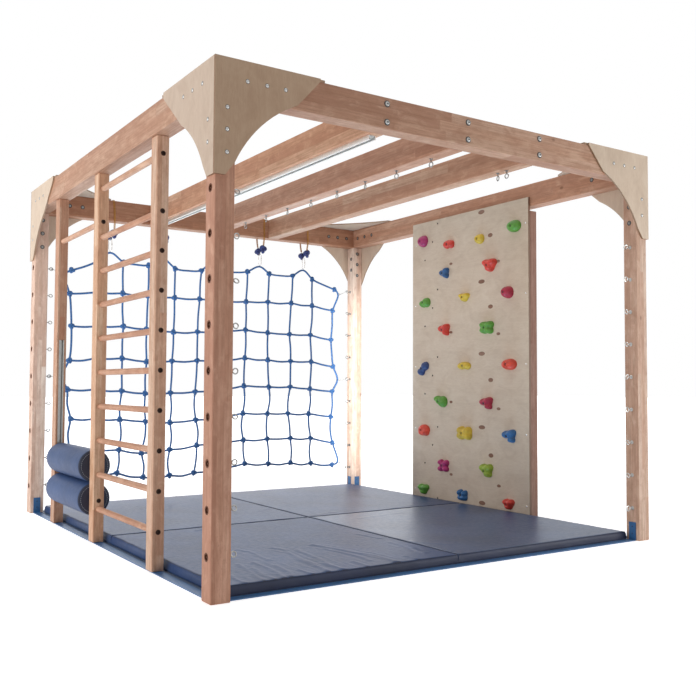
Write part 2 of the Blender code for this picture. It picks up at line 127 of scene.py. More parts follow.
class Look:
    """A material with short calls for its nodes."""

    def __init__(self, name, **shader):
        self.material = bpy.data.materials.new(name)
        self.material.use_nodes = True
        self.tree = self.material.node_tree
        self.shader = self.tree.nodes["Principled BSDF"]
        for key, value in shader.items():
            self.shader.inputs[key.replace("_", " ")].default_value = value

    def put(self, socket, value):
        if isinstance(value, bpy.types.NodeSocket):
            self.tree.links.new(value, socket)
        else:
            socket.default_value = value

    def add(self, kind, ins=None, **settings):
        made = self.tree.nodes.new("ShaderNode" + kind)
        for key, value in settings.items():
            setattr(made, key, value)
        for key, value in (ins or {}).items():
            self.put(made.inputs[key], value)
        return made

    def math(self, operation, a, b=0.0, c=0.0, clamp=False):
        return self.add("Math", {0: a, 1: b, 2: c}, operation=operation, use_clamp=clamp).outputs[0]

    def plus(self, a, b):
        return self.math("ADD", a, b)

    def times(self, a, b):
        return self.math("MULTIPLY", a, b)

    def slope(self, a, b, c):
        """a times b, plus c."""
        return self.math("MULTIPLY_ADD", a, b, c)

    def ramp(self, factor, stops, smooth=False):
        made = self.add("ValToRGB", {0: factor})
        ramp = made.color_ramp
        ramp.interpolation = "EASE" if smooth else "LINEAR"
        while len(ramp.elements) < len(stops):
            ramp.elements.new(0.5)
        for element, (place, colour) in zip(ramp.elements, stops):
            element.position = place
            element.color = (*(colour if isinstance(colour, tuple) else (colour,) * 3), 1.0)
        return made.outputs[0]

    def noise(self, vector, scale, detail=2.0, rough=0.5, distort=0.0):
        return self.add("TexNoise", {"Vector": vector, "Scale": scale, "Detail": detail,
                                     "Roughness": rough, "Distortion": distort}).outputs["Fac"]

    def mix(self, factor, a, b, blend="MIX"):
        made = self.add("Mix", data_type="RGBA", blend_type=blend)
        self.put(made.inputs[0], factor)
        for socket, value in ((made.inputs[6], a), (made.inputs[7], b)):
            self.put(socket, (*value, 1.0) if isinstance(value, tuple) else value)
        return made.outputs[2]

    def coat(self, colour, field, low, high, other):
        """Lay another colour on, its share set by a field between two (value, share) stops."""
        return self.mix(self.ramp(field, [low, high]), colour, other)

    def bump(self, height, distance, strength=1.0, under=None):
        made = self.add("Bump", {"Height": height, "Distance": distance, "Strength": strength})
        if under is not None:
            self.put(made.inputs["Normal"], under)
        return made.outputs[0]

    def places(self):
        """Object coordinates, whole and by axis."""
        vector = self.add("TexCoord").outputs["Object"]
        split = self.add("SeparateXYZ", {0: vector})
        return vector, {"x": split.outputs[0], "y": split.outputs[1], "z": split.outputs[2]}

    def join(self, x, y, z):
        return self.add("CombineXYZ", {0: x, 1: y, 2: z}).outputs[0]

    def use(self, colour=None, rough=None, normal=None):
        for key, value in (("Base Color", colour), ("Roughness", rough), ("Normal", normal)):
            if value is not None:
                self.put(self.shader.inputs[key], value)
        return self.material


def dimmed(colour, part):
    return tuple(c * part for c in colour)


def timber(name, along, seed, tint=0.0, lamella=(0.045, 0.05), shade=WHITE):
    """Glued laminated beech: staves with their own tone, grain along the length, pores and knots."""
    look = Look(name, Specular_IOR_Level=0.3)
    _, axes = look.places()
    first, second = [k for k in "xyz" if k != along]
    a = look.plus(axes[first], seed * 0.371 + 20.0)
    b = look.plus(axes[second], seed * 0.137 + 30.0)
    length = look.plus(axes[along], seed * 1.713 + 40.0)
    # Staves, jointed at their ends by fingers, each with its own tone
    row_a = look.math("FLOOR", look.math("DIVIDE", a, lamella[0]))
    row_b = look.math("FLOOR", look.math("DIVIDE", b, lamella[1]))
    cell = look.join(row_a, row_b, seed * 1.0)
    shift = look.add("TexWhiteNoise", {"Vector": cell}, noise_dimensions="3D").outputs["Value"]
    teeth = look.math("PINGPONG", look.plus(a, b), 0.003)
    run = look.slope(shift, 7.0, look.slope(teeth, 3.0, length))
    stave = look.math("FLOOR", look.math("DIVIDE", run, 1.15))
    own = look.add("TexWhiteNoise", {"Vector": look.join(row_a, row_b, stave)}, noise_dimensions="3D")
    base = look.ramp(look.math("ADD", own.outputs["Value"], tint, clamp=True), [
        (0.0, (0.45, 0.222, 0.138)), (0.25, (0.54, 0.283, 0.182)), (0.5, (0.6, 0.34, 0.222)),
        (0.75, (0.56, 0.283, 0.175)), (1.0, (0.68, 0.435, 0.305))])
    # Grain, pores, clouds and figure
    jitter = look.add("SeparateColor", {0: own.outputs["Color"]})
    u = look.slope(jitter.outputs[0], 3.0, a)
    v = look.slope(jitter.outputs[1], 3.0, b)
    grain = look.join(u, v, look.times(length, 0.045))
    rings = look.math("SINE", look.times(look.noise(grain, 9.0, 2.0, 0.5, 0.4), 70.0))
    streak = look.noise(grain, 110.0, 4.0, 0.6)
    pores = look.noise(look.join(u, v, look.times(length, 0.2)), 420.0, 1.0, 0.5)
    cloud = look.noise(look.join(a, b, look.times(length, 0.4)), 6.0, 2.0)
    figure = look.noise(look.join(u, v, look.times(length, 0.55)), 17.0, 3.0, 0.6, 0.8)
    colour = look.mix(look.times(look.slope(rings, 0.5, 0.5), 0.3), base, (0.42, 0.205, 0.118))
    for coat in ((streak, (0.42, 0.0), (0.66, 0.5), (0.32, 0.15, 0.085)),
                 (pores, (0.6, 0.0), (0.74, 0.4), (0.25, 0.125, 0.075)),
                 (cloud, (0.35, 0.0), (0.72, 0.45), (0.45, 0.215, 0.13)),
                 (figure, (0.5, 0.0), (0.7, 0.48), (0.36, 0.16, 0.09)),
                 (figure, (0.28, 0.35), (0.46, 0.0), (0.74, 0.47, 0.32))):
        colour = look.coat(colour, *coat)
    spots = look.add("TexVoronoi", {"Vector": look.join(a, b, look.times(length, 0.62)),
                                    "Scale": 5.5, "Randomness": 1.0})
    knot = look.ramp(spots.outputs["Distance"], [(0.03, 1.0), (0.075, 0.0)], smooth=True)
    chosen = look.add("SeparateColor", {0: spots.outputs["Color"]}).outputs[0]
    knot = look.times(knot, look.math("GREATER_THAN", chosen, 0.55))
    colour = look.mix(look.times(knot, 0.75), colour, (0.2, 0.085, 0.045))
    # Painted light and shade: the colour is multiplied by shade
    colour = look.mix(1.0, colour, shade, "MULTIPLY")
    height = look.plus(look.times(streak, 0.6), look.times(pores, -0.5))
    return look.use(colour, look.slope(streak, 0.25, 0.42), look.bump(height, 0.0006, 0.35))


def birch(name, thin, along, seed, thickness=0.01, layers=7, edge=None, shade=WHITE):
    """Birch plywood: pale rotary-cut face with soft figure, layers on its edges."""
    look = Look(name)
    vector, axes = look.places()
    other = [k for k in "xyz" if k not in (thin, along)][0]
    across = look.plus(axes[other], seed * 0.73 + 10.0)
    length = look.plus(axes[along], seed * 0.41 + 10.0)
    flat = look.join(across, look.times(length, 0.1), seed * 1.0)
    rings = look.math("SINE", look.times(look.noise(flat, 13.0, 3.0, 0.55, 1.2), 46.0))
    fine = look.noise(flat, 330.0, 3.0, 0.6)
    cloud = look.noise(look.join(across, length, seed * 1.0), 2.2, 2.0)
    mottle = look.noise(look.join(across, look.times(length, 0.6), seed * 2.0), 11.0, 4.0, 0.6, 1.0)
    colour = look.mix(look.times(look.slope(rings, 0.5, 0.5), 0.28), (0.66, 0.525, 0.4),
                      (0.56, 0.415, 0.3))
    for coat in ((fine, (0.45, 0.0), (0.72, 0.3), (0.46, 0.32, 0.215)),
                 (cloud, (0.35, 0.0), (0.7, 0.28), (0.71, 0.575, 0.45)),
                 (mottle, (0.48, 0.0), (0.72, 0.38), (0.47, 0.335, 0.235)),
                 (mottle, (0.28, 0.35), (0.45, 0.0), (0.75, 0.62, 0.49))):
        colour = look.coat(colour, *coat)
    normal = look.add("SeparateXYZ", {0: look.add("TexCoord").outputs["Normal"]})
    facing = look.math("ABSOLUTE", normal.outputs["xyz".index(thin)])
    ply = look.math("PINGPONG", look.plus(axes[thin], 50.0), thickness / layers)
    ply = look.math("GREATER_THAN", ply, thickness / layers * 0.5)
    stripes = look.mix(ply, edge or (0.45, 0.3, 0.2), edge or (0.33, 0.2, 0.115))
    speck = look.noise(vector, 160.0, 2.0)
    stripes = look.mix(look.times(speck, 0.5), stripes, (0.22, 0.13, 0.075))
    colour = look.mix(look.math("LESS_THAN", facing, 0.5), colour, stripes)
    # The colour multiplied by shade, which on the front left plates is painted shade
    colour = look.mix(1.0, colour, shade, "MULTIPLY")
    return look.use(colour, look.slope(fine, 0.2, 0.4), look.bump(fine, 0.0003, 0.3))


def zinc(name, tone=0.6, rough=0.3):
    """Zinc plated steel with a faint cloudy finish."""
    look = Look(name, Metallic=1.0)
    vector, _ = look.places()
    cloud = look.noise(vector, 90.0, 3.0)
    fine = look.noise(vector, 900.0, 2.0)
    low = tone * 0.82
    colour = look.ramp(cloud, [(0.3, (low, low * 0.99, low * 0.95)), (0.7, (tone, tone, tone * 0.98))])
    return look.use(colour, look.slope(cloud, 0.18, rough - 0.06), look.bump(fine, 0.0002, 0.25))


def painted(name, colour, rough=0.32):
    """Powder coat: faint orange peel, small chips."""
    look = Look(name)
    vector, _ = look.places()
    peel = look.noise(vector, 700.0, 2.0)
    cloud = look.noise(vector, 5.0, 2.0)
    shade = look.coat(colour, cloud, (0.35, 0.0), (0.7, 1.0), dimmed(colour, 0.78))
    shade = look.coat(shade, look.noise(vector, 60.0, 5.0, 0.7), (0.68, 0.0), (0.74, 0.5),
                      tuple(min(1.0, c * 1.8 + 0.05) for c in colour))
    return look.use(shade, look.slope(peel, 0.15, rough), look.bump(peel, 0.0003, 0.3))


def vinyl(name, colour, rough=0.4, gloss=0.4):
    """Coated fabric: fine pebbled grain with soft dents."""
    look = Look(name, Specular_IOR_Level=gloss)
    vector, _ = look.places()
    pebble = look.add("TexVoronoi", {"Vector": vector, "Scale": 620.0}).outputs["Distance"]
    dents = look.noise(vector, 14.0, 3.0, 0.5)
    cloud = look.noise(vector, 3.0, 3.0)
    shade = look.coat(dimmed(colour, 0.8), cloud, (0.35, 0.0), (0.68, 1.0), dimmed(colour, 1.18))
    # Darker in the pits of the grain: painted shade
    shade = look.coat(shade, pebble, (0.1, 0.35), (0.5, 0.0), dimmed(colour, 0.6))
    worn = look.noise(vector, 38.0, 4.0, 0.65)
    normal = look.bump(pebble, 0.0004, 0.15)
    return look.use(shade, look.slope(worn, 0.22, rough - 0.11), look.bump(dents, 0.004, 0.12, normal))


def rope(name, colour, radius, light=(0.5, 0.6, 0.8)):
    """Braided rope; the turn round it and the way along it are kept on its mesh."""
    look = Look(name, Roughness=0.72)
    wind = look.add("Attribute", attribute_name="wind", attribute_type="GEOMETRY").outputs["Vector"]
    split = look.add("SeparateXYZ", {0: wind})
    turn = look.times(look.math("ARCTAN2", split.outputs[1], split.outputs[0]), 4.0)
    way = look.times(split.outputs[2], 1.9 / radius)
    one = look.math("SINE", look.plus(turn, way))
    two = look.math("SINE", look.math("SUBTRACT", turn, way))
    braid = look.slope(look.times(one, two), 0.5, 0.5)
    vector, _ = look.places()
    fuzz = look.noise(vector, 900.0, 3.0)
    # Darker in the grooves of the braid: painted shade
    shade = look.coat(dimmed(colour, 0.6), braid, (0.15, 0.0), (0.75, 1.0), colour)
    shade = look.coat(shade, fuzz, (0.52, 0.0), (0.72, 0.35), light)
    fade = look.noise(vector, 7.0, 2.0)
    shade = look.coat(shade, fade, (0.3, 0.0), (0.7, 0.35), dimmed(colour, 0.75))
    return look.use(shade, None, look.bump(look.slope(fuzz, 0.3, braid), radius * 0.25, 0.6))


def resin(name, colour):
    """Climbing hold: cast resin with a sandy skin and slight colour clouds."""
    look = Look(name)
    vector, _ = look.places()
    sand = look.noise(vector, 800.0, 3.0, 0.6)
    cloud = look.noise(vector, 30.0, 3.0)
    chalk = look.noise(vector, 70.0, 5.0, 0.7)
    shade = look.coat(colour, cloud, (0.35, 0.0), (0.68, 1.0), dimmed(colour, 0.72))
    shade = look.coat(shade, chalk, (0.64, 0.0), (0.8, 0.35), (0.75, 0.72, 0.68))
    return look.use(shade, look.slope(sand, 0.25, 0.3), look.bump(sand, 0.0008, 0.45))


ZINC = zinc("zinc_plated", 0.36)
ZINC_BRIGHT = zinc("zinc_plated_bright", 0.62)
ZINC_DARK = zinc("zinc_dark", 0.3, 0.42)
ZINC_SHADED = zinc("zinc_shaded", 0.1, 0.5)
STEEL_BRIGHT = zinc("steel_bright", 0.78, 0.2)
STEEL_MID = zinc("steel_mid", 0.42, 0.3)
SHADED = painted("bore_shadow", (0.045, 0.018, 0.009), 0.65)
SHADED_RED = painted("post_bore_shadow", (0.15, 0.052, 0.022), 0.65)
# Black for the hold bolts, and painted shade for the bolt sockets, the hole floors and the discs under
# the plate bolts
BLACK_AND_SHADE = painted("black_oxide_and_painted_shade", (0.018, 0.018, 0.02), 0.45)
BLUE = painted("blue_paint", (0.035, 0.135, 0.32))
BLUE_DEEP = painted("blue_paint_screws", (0.02, 0.07, 0.17))
# A darker copy of the mat vinyl for faces turned to the front: painted shade
NAVY_SHADED_FRONT = vinyl("navy_vinyl_front_painted_shade", (0.013, 0.021, 0.06), 0.5)
NAVY_DARK = vinyl("navy_vinyl_ends", (0.016, 0.022, 0.046), 0.5)
ROLLER_BLUE = vinyl("roller_vinyl", (0.04, 0.075, 0.178), 0.52, 0.28)
THREAD = rope("stitch_thread", (0.42, 0.46, 0.52), 0.0006)
ROPE_BLUE = rope("net_rope_blue", (0.062, 0.2, 0.51), 0.0075, (0.17, 0.37, 0.72))
ROPE_KNOT = rope("knot_rope_blue", (0.056, 0.078, 0.25), 0.006, (0.12, 0.15, 0.36))
CORD_ORANGE = rope("cord_orange", (0.66, 0.29, 0.06), 0.0035, (0.8, 0.54, 0.28))
CORD_WHITE = rope("cord_white", (0.62, 0.62, 0.6), 0.002, (0.8, 0.8, 0.8))


def mesh_smoother():
    """A modifier's node group that shades faces smooth and keeps sharp edges sharp."""
    group = bpy.data.node_groups.new("smooth_faces", "GeometryNodeTree")
    for way in ("INPUT", "OUTPUT"):
        group.interface.new_socket("Geometry", in_out=way, socket_type="NodeSocketGeometry")
    start, end, angle, sharp, faces, edges = (group.nodes.new(kind) for kind in (
        "NodeGroupInput", "NodeGroupOutput", "GeometryNodeInputMeshEdgeAngle", "FunctionNodeCompare",
        "GeometryNodeSetShadeSmooth", "GeometryNodeSetShadeSmooth"))
    sharp.data_type = "FLOAT"
    sharp.operation = "GREATER_THAN"
    sharp.inputs[1].default_value = math.radians(30.0)
    edges.domain = "EDGE"
    edges.inputs["Shade Smooth"].default_value = False
    for source, target in ((start, faces.inputs[0]), (faces, edges.inputs[0]), (angle, sharp.inputs[0]),
                           (sharp, edges.inputs["Selection"]), (edges, end.inputs[0])):
        group.links.new(source.outputs[0], target)
    return group


SMOOTHER = mesh_smoother()


def dress(node, material):
    """Give a CAD node its material and smooth shading."""
    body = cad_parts[node]
    for entry in body.material_slots:
        entry.material = material
    body.modifiers.new("smooth", "NODES").node_group = SMOOTHER


def loose(name, shape):
    """An object from a mesh under work."""
    mesh = bpy.data.meshes.new(name)
    shape.to_mesh(mesh)
    shape.free()
    return link(name, mesh)


def finished(made, material, body, stands_for, sharp=None):
    """Shade an object, give it its material and body, and hide the CAD nodes it stands for."""
    made.data.shade_smooth()
    if sharp:
        made.data.set_sharp_from_angle(angle=math.radians(sharp))
    made.data.materials.clear()
    made.data.materials.append(material)
    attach(made, body)
    if stands_for:
        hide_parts(*stands_for)
    return made


def piece(name, shape, material, body="frame", stands_for=(), sharp=32.0):
    """Make one object from a mesh; it rides on a body and may stand for CAD nodes."""
    bmesh.ops.recalc_face_normals(shape, faces=shape.faces)
    return finished(loose(name, shape), material, body, stands_for, sharp)


def bend_through(points, steps=8, closed=False):
    """Smooth line through points."""
    points = [Vector(p) for p in points]
    count = len(points)
    line = []
    for i in range(count if closed else count - 1):
        p0, p1, p2, p3 = (points[(i + k) % count] for k in (-1, 0, 1, 2))
        if not closed:
            p0 = p0 if i else p1 * 2.0 - p2
            p3 = p3 if i + 2 < count else p2 * 2.0 - p1
        for k in range(steps):
            t = k / steps
            line.append(0.5 * (2.0 * p1 + (p2 - p0) * t + (2.0 * p0 - 5.0 * p1 + 4.0 * p2 - p3) * t * t
                               + (3.0 * p1 - p0 - 3.0 * p2 + p3) * t ** 3))
    return line if closed else line + [points[-1]]


def length_of(points):
    return sum((b - a).length for a, b in zip(points, points[1:]))


def circle(count):
    """Even turns round a circle, each as its cosine and sine."""
    turns = [math.tau * k / count for k in range(count)]
    return [(math.cos(turn), math.sin(turn)) for turn in turns]


def skin(shape, rings):
    """Faces between each two neighbouring rings of corners."""
    for first, second in zip(rings, rings[1:]):
        for k in range(len(first)):
            j = (k + 1) % len(first)
            shape.faces.new((first[k], first[j], second[j], second[k]))


def tube(shape, points, radius, sides=8, closed=False):
    """Sweep a round section along a line, and keep the turn and the way along on its vertices."""
    layers = shape.verts.layers.float_vector
    wind = layers.get("wind") or layers.new("wind")
    count = len(points)
    rings = []
    side = None
    way = 0.0
    for i, point in enumerate(points):
        before = points[(i - 1) % count] if closed or i else point
        after = points[(i + 1) % count] if closed or i + 1 < count else point
        ahead = (after - before).normalized()
        side = side or ahead.orthogonal()
        side = (side - ahead * side.dot(ahead)).normalized()
        cross = ahead.cross(side)
        way += (point - points[i - 1]).length if i else 0.0
        ring = []
        for c, s in circle(sides):
            ring.append(shape.verts.new(point + (side * c + cross * s) * radius))
            ring[-1][wind] = (c, s, way)
        rings.append(ring)
    skin(shape, rings)
    if closed:
        first, last = rings[0], rings[-1]
        best = min(range(sides), key=lambda s: (last[0].co - first[s].co).length)
        skin(shape, [last, first[best:] + first[:best]])
    else:
        shape.faces.new(rings[0][::-1])
        shape.faces.new(rings[-1])


def turned(shape, profile, place, axis, sides=24):
    """Turn a profile of (radius, way along the axis) round an axis through a place."""
    axis = Vector(axis).normalized()
    side = axis.orthogonal().normalized()
    cross = axis.cross(side)
    rings = []
    for radius, way in profile:
        centre = place + axis * way
        corners = [centre + (side * c + cross * s) * radius for c, s in circle(sides if radius else 1)]
        rings.append([shape.verts.new(corner) for corner in corners])
    for first, second in zip(rings, rings[1:]):
        if len(first) == len(second):
            skin(shape, [first, second])
            continue
        for k in range(sides):
            j = (k + 1) % sides
            shape.faces.new((first[0], second[k], second[j]) if len(first) == 1
                            else (first[k], first[j], second[0]))


def puck(shape, place, axis, radius, low, high, ease, sides, rise=None):
    """A round block with eased edges."""
    rise = ease if rise is None else rise
    turned(shape, [(0.0, low), (radius - ease, low), (radius, low + rise), (radius, high - rise),
                   (radius - ease, high), (0.0, high)], place, axis, sides)


def hexagon(shape, place, axis, across, low, high):
    """A nut or bolt head with rounded corners at both ends."""
    wide = across / math.sqrt(3.0)
    puck(shape, place, axis, wide, low, high, wide * 0.12, 6, wide * 0.12 * 0.6)


def washer(shape, place, axis, radius, low, high):
    puck(shape, place, axis, radius, low, high, min(0.0006, (high - low) * 0.3), 28)


def dome(shape, place, axis, radius, high):
    """A round screw head."""
    steps = 5
    turns = [math.pi / 2.0 * i / steps for i in range(1, steps)]
    turned(shape, [(radius, 0.0)] + [(radius * math.cos(t), high * math.sin(t)) for t in turns]
           + [(0.0, high)], place, axis, 20)


def painted_bore_shade(shape, place, axis, inner=0.0142, outer=0.019):
    """Painted shade for a counterbore: a dark lining inside it, a dark rim round it on the face and a
    dark disc on its floor.
    """
    lining = inner - 0.0006
    turned(shape, [(lining, -0.0134), (inner, -0.0134), (inner, -0.0003), (outer - 0.0003, -0.0003),
                   (outer, 0.0003), (lining, 0.0003), (lining, -0.0134)], place, axis, 28)
    washer(shape, place - 0.0137 * axis, axis, inner - 0.0002, -0.0002, 0.0006)


def wire_ring(shape, middle, normal, radius, thick, up=None):
    """A closed ring of round wire; it starts along up."""
    normal = Vector(normal).normalized()
    up = up or normal.orthogonal().normalized()
    side = normal.cross(up)
    line = [middle + up * c * radius + side * s * radius for c, s in circle(28)]
    tube(shape, line, thick, closed=True)


def eyebolt(shape, place, axis, normal, reach=0.033, radius=0.0115, thick=0.0029):
    """Washer, nut, shank and a closed eye standing out from a face."""
    washer(shape, place, axis, 0.011, 0.0, 0.0016)
    hexagon(shape, place, axis, 0.013, 0.0016, 0.0076)
    turned(shape, [(0.0, 0.0), (0.0034, 0.0), (0.0034, reach - radius - 0.002),
                   (0.0042, reach - radius - 0.0005), (0.0, reach - radius)], place, axis, 12)
    wire_ring(shape, place + axis * reach, normal, radius, thick, axis)


def second_look(made, material, chosen):
    """Give the chosen faces of a piece another material."""
    made.data.materials.append(material)
    for face in made.data.polygons:
        face.material_index = int(chosen(face))


random.seed(7)

# Timbers: CAD node, way of the grain, tint, section of a stave, shade. Each takes the next seed. The
# shade multiplies the colour and paints in light and shade
STAVE = (0.045, 0.05)
POST_STAVE = (0.03, 0.09)
BEAM_STAVE = (0.09, 0.05)
LADDER_STAVE = (0.06, 0.04)
seeds = iter(range(3, 200))
for node, along, tint, stave, shade in (
        # The front right and back posts are made lighter by their shade, the back right one also by its
        # tint: painted light
        ("post_front_left", "z", -0.1, POST_STAVE, (1.0, 1.0, 1.06)),
        ("post_front_right", "z", 0.05, POST_STAVE, (1.12, 1.34, 1.52)),
        ("post_back_left", "z", 0.1, POST_STAVE, (1.4, 1.92, 2.42)),
        ("post_back_right", "z", 0.22, POST_STAVE, (1.4, 1.85, 2.25)),
        # On the beams the shade sets part of their own tone and paints in light; the first cross beam is
        # made lighter
        ("beam_front", "x", -0.05, BEAM_STAVE, (0.98, 1.06, 1.12)),
        ("beam_back", "x", -0.05, BEAM_STAVE, (0.9, 0.84, 0.78)),
        ("beam_left", "y", 0.0, STAVE, (0.9, 0.96, 1.0)),
        ("beam_right", "y", 0.0, STAVE, (1.02, 1.02, 1.02)),
        ("cross_beam_1", "y", 0.05, STAVE, (1.16, 1.16, 1.1)),
        ("cross_beam_2", "y", 0.05, STAVE, (0.96, 0.96, 0.98)),
        ("cross_beam_3", "y", 0.05, STAVE, (1.0, 1.04, 1.04)),
        # Ladder posts a and b are made lighter: painted light
        ("ladder_post_a", "z", 0.28, LADDER_STAVE, (1.2, 1.32, 1.3)),
        ("ladder_post_b", "z", 0.28, LADDER_STAVE, (1.1, 1.23, 1.31)),
        ("ladder_post_c", "z", 0.28, LADDER_STAVE, (0.9, 0.94, 0.96)),
        ("stop_block_a", "z", -0.2, STAVE, WHITE),
        ("stop_block_c", "z", -0.2, STAVE, WHITE),
        # The battens are made darker: painted shade
        ("panel_batten_near", "z", 0.0, STAVE, (0.56, 0.54, 0.6)),
        ("panel_batten_far", "z", 0.0, STAVE, (0.56, 0.54, 0.6))):
    dress(node, timber(f"timber_{node}", along, next(seeds), tint, stave, shade))
# The front left plates are made darker: painted shade
PLY_PAINTED_SHADE = {"plate_front_left_long": (0.72, 0.62, 0.54), "plate_front_left_side": (0.84, 0.82, 0.83)}
for row, side in CORNERS:
    corner = f"{row}_{side}"
    for node, thin, along in ((f"plate_{corner}_long", "y", "z"), (f"plate_{corner}_side", "x", "z"),
                              (f"gusset_{corner}", "z", "x")):
        dress(node, birch(f"ply_{node}", thin, along, next(seeds), shade=PLY_PAINTED_SHADE.get(node, WHITE)))
for place in ("front", "back", "left", "right"):
    dress(f"rail_{place}", BLUE)
for letter in "ac":
    dress(f"guide_channel_{letter}", zinc(f"channel_{letter}", 0.34))
dress("trolley_track", zinc("track_pale", 0.86, 0.36))
for level in ("lower", "upper"):
    dress(f"roller_axle_{level}", STEEL_BRIGHT)

# Rungs, turned smooth
RUNG_TIMBERS = [timber(f"timber_rung_{i}", "y", next(seeds), tint, (0.2, 0.2))
                for i, tint in enumerate((0.35, 0.05, 0.2, 0.45))]


def rung(node, z, bay, material):
    """A round rung between two ladder posts."""
    shape = bmesh.new()
    puck(shape, at(LADDER_X, 0.0, z), Y, RUNG, LADDER_ENDS[bay], LADDER_STARTS[bay + 1], 0.0012, 32)
    piece(f"{node}_wood", shape, material, stands_for=(node,))


for number, z in enumerate(LEVELS, start=1):
    rung(f"rung_{number:02d}", z, 0, RUNG_TIMBERS[number * 3 % 4])
rung("rung_bay_top", RUNG_BAY_TOP, 1, RUNG_TIMBERS[1])


# Screw heads in the counterbores of the ladder posts
def ladder_screw(shape, z, face, axis):
    place = at(LADDER_X, face, z) - axis * BORE_FLOOR
    hexagon(shape, place, axis, 0.013, 0.0, 0.0055)
    washer(shape, place, axis, 0.0095, -0.0002, 0.0012)


BAY_LEVELS = (RUNG_BAY_TOP, ROLLER_LOW)
shape = bmesh.new()
for face, levels in ((LADDER_STARTS[0], LEVELS), (LADDER_STARTS[1], BAY_LEVELS)):
    for z in levels:
        ladder_screw(shape, z, face, -Y)
        painted_bore_shade(shape, at(LADDER_X, face, z), -Y, 0.0104, 0.0126)
for z in BAY_LEVELS:
    ladder_screw(shape, z, LADDER_ENDS[2], Y)
# The screw heads and the bore linings take the painted bore shadow
piece("ladder_bolts", shape, SHADED)

# Eyebolts on the inner faces of the posts, nuts in the counterbores outside: reach, radius, wire
EYE = (0.033, 0.0115, 0.0029)
EYE_FRONT_RIGHT = (0.037, 0.0138, 0.0036)
EYE_CEILING = (0.031, 0.0125, 0.003)
for row, side in CORNERS:
    y = y_from(row, POST / 2.0)
    axis = X * inward(side)
    large = (row, side) == ("front", "right")
    eyes, nuts = bmesh.new(), bmesh.new()
    for z in POST_LEVELS:
        tilt = math.radians(random.uniform(-35.0, 35.0))
        eyebolt(eyes, at(x_from(side, POST), y, z), axis, (0.0, math.cos(tilt), math.sin(tilt)),
                *(EYE_FRONT_RIGHT if large else EYE))
        place = at(x_from(side, BORE_FLOOR), y, z)
        washer(nuts, place, -axis, 0.0125, -0.0002, 0.0015)
        hexagon(nuts, place, -axis, 0.013, 0.0015, 0.0085)
        turned(nuts, [(0.0, 0.0085), (0.0038, 0.0085), (0.0036, 0.0118), (0.0, 0.0118)],
               place, -axis, 12)
        painted_bore_shade(nuts, at(x_from(side, 0.0), y, z), -axis)
    piece(f"eyebolts_{row}_{side}", eyes, ZINC_BRIGHT if large else ZINC)
    # The nuts and the bore linings take the painted bore shadow
    piece(f"nuts_{row}_{side}", nuts, SHADED_RED)

# Ceiling eyebolts
shape = bmesh.new()
for x, places in ((CROSS_BEAMS[1], (2.453, 2.136, 1.829, 1.522, 1.211, 0.905, 0.598, 0.293)),
                  (CROSS_BEAMS[2], (0.317, 0.247))):
    for y in places:
        tilt = math.radians(random.uniform(-30.0, 30.0))
        eyebolt(shape, at(x, y, BEAM_BOTTOM), -Z, (math.cos(tilt), math.sin(tilt), 0.0), *EYE_CEILING)
        washer(shape, at(x, y, BEAM_TOP), Z, 0.01, 0.0, 0.0016)
        hexagon(shape, at(x, y, BEAM_TOP), Z, 0.013, 0.0016, 0.007)
piece("ceiling_eyebolts", shape, ZINC)

# Carriage bolts in the corner plates, and their nuts inside
heads, nuts, shadow_discs = bmesh.new(), bmesh.new(), bmesh.new()


def plate_bolt(place, inner, out, nut):
    """A round bolt head on a corner plate and, if nut is set, its nut on the inner face; each sits on a
    dark disc of painted shadow.
    """
    dome(heads, place, out, 0.0085, 0.0034)
    washer(shadow_discs, place, out, 0.0099, -0.0002, 0.0003)
    if nut:
        washer(shadow_discs, inner, -out, 0.0145, -0.0002, 0.0003)
        washer(nuts, inner, -out, 0.009, 0.0003, 0.0014)
        hexagon(nuts, inner, -out, 0.01, 0.0014, 0.005)


# On the long and then on the side plate: the row along the beam, and the way in and height of the others
THREE_UP = ((0.048, 2.039), (0.048, 1.946), (0.048, 1.85))
TWO_UP = ((0.057, 1.994), (0.057, 1.898))
USUAL = ((0.14, 0.233, 0.324), THREE_UP, (0.116, 0.22, 0.321), TWO_UP)
PLATE_BOLTS = {
    ("front", "right"): ((0.111, 0.202, 0.293), ((0.047, 1.987), (0.047, 1.891)),
                         (0.14, 0.233, 0.324), THREE_UP),
    ("back", "right"): ((0.161, 0.253, 0.344), THREE_UP, (0.157, 0.26, 0.363), TWO_UP),
}
for row, side in CORNERS:
    level_long, up_long, level_side, up_side = PLATE_BOLTS.get((row, side), USUAL)
    for way, z in [(way, 2.164) for way in level_long] + list(up_long):
        x = x_from(side, way)
        plate_bolt(at(x, y_from(row, -PLATE_FACE), z), at(x, y_from(row, POST), z), Y * -inward(row),
                   way > POST or z < BEAM_BOTTOM)
    for way, z in [(way, 2.163) for way in level_side] + list(up_side):
        y = y_from(row, way)
        plate_bolt(at(x_from(side, -PLATE_FACE), y, z), at(x_from(side, POST), y, z), X * -inward(side),
                   way > POST or z < BEAM_BOTTOM)
    for way in (0.07, 0.22, 0.37, 0.47):
        place = at(x_from(side, way), y_from(row, POST / 2.0), BEAM_TOP + 0.0099)
        dome(heads, place, Z, 0.0045, 0.0001)
piece("plate_bolts", heads, STEEL_MID)
piece("plate_nuts", nuts, ZINC_DARK)
piece("plate_bolt_shadow_discs", shadow_discs, BLACK_AND_SHADE)

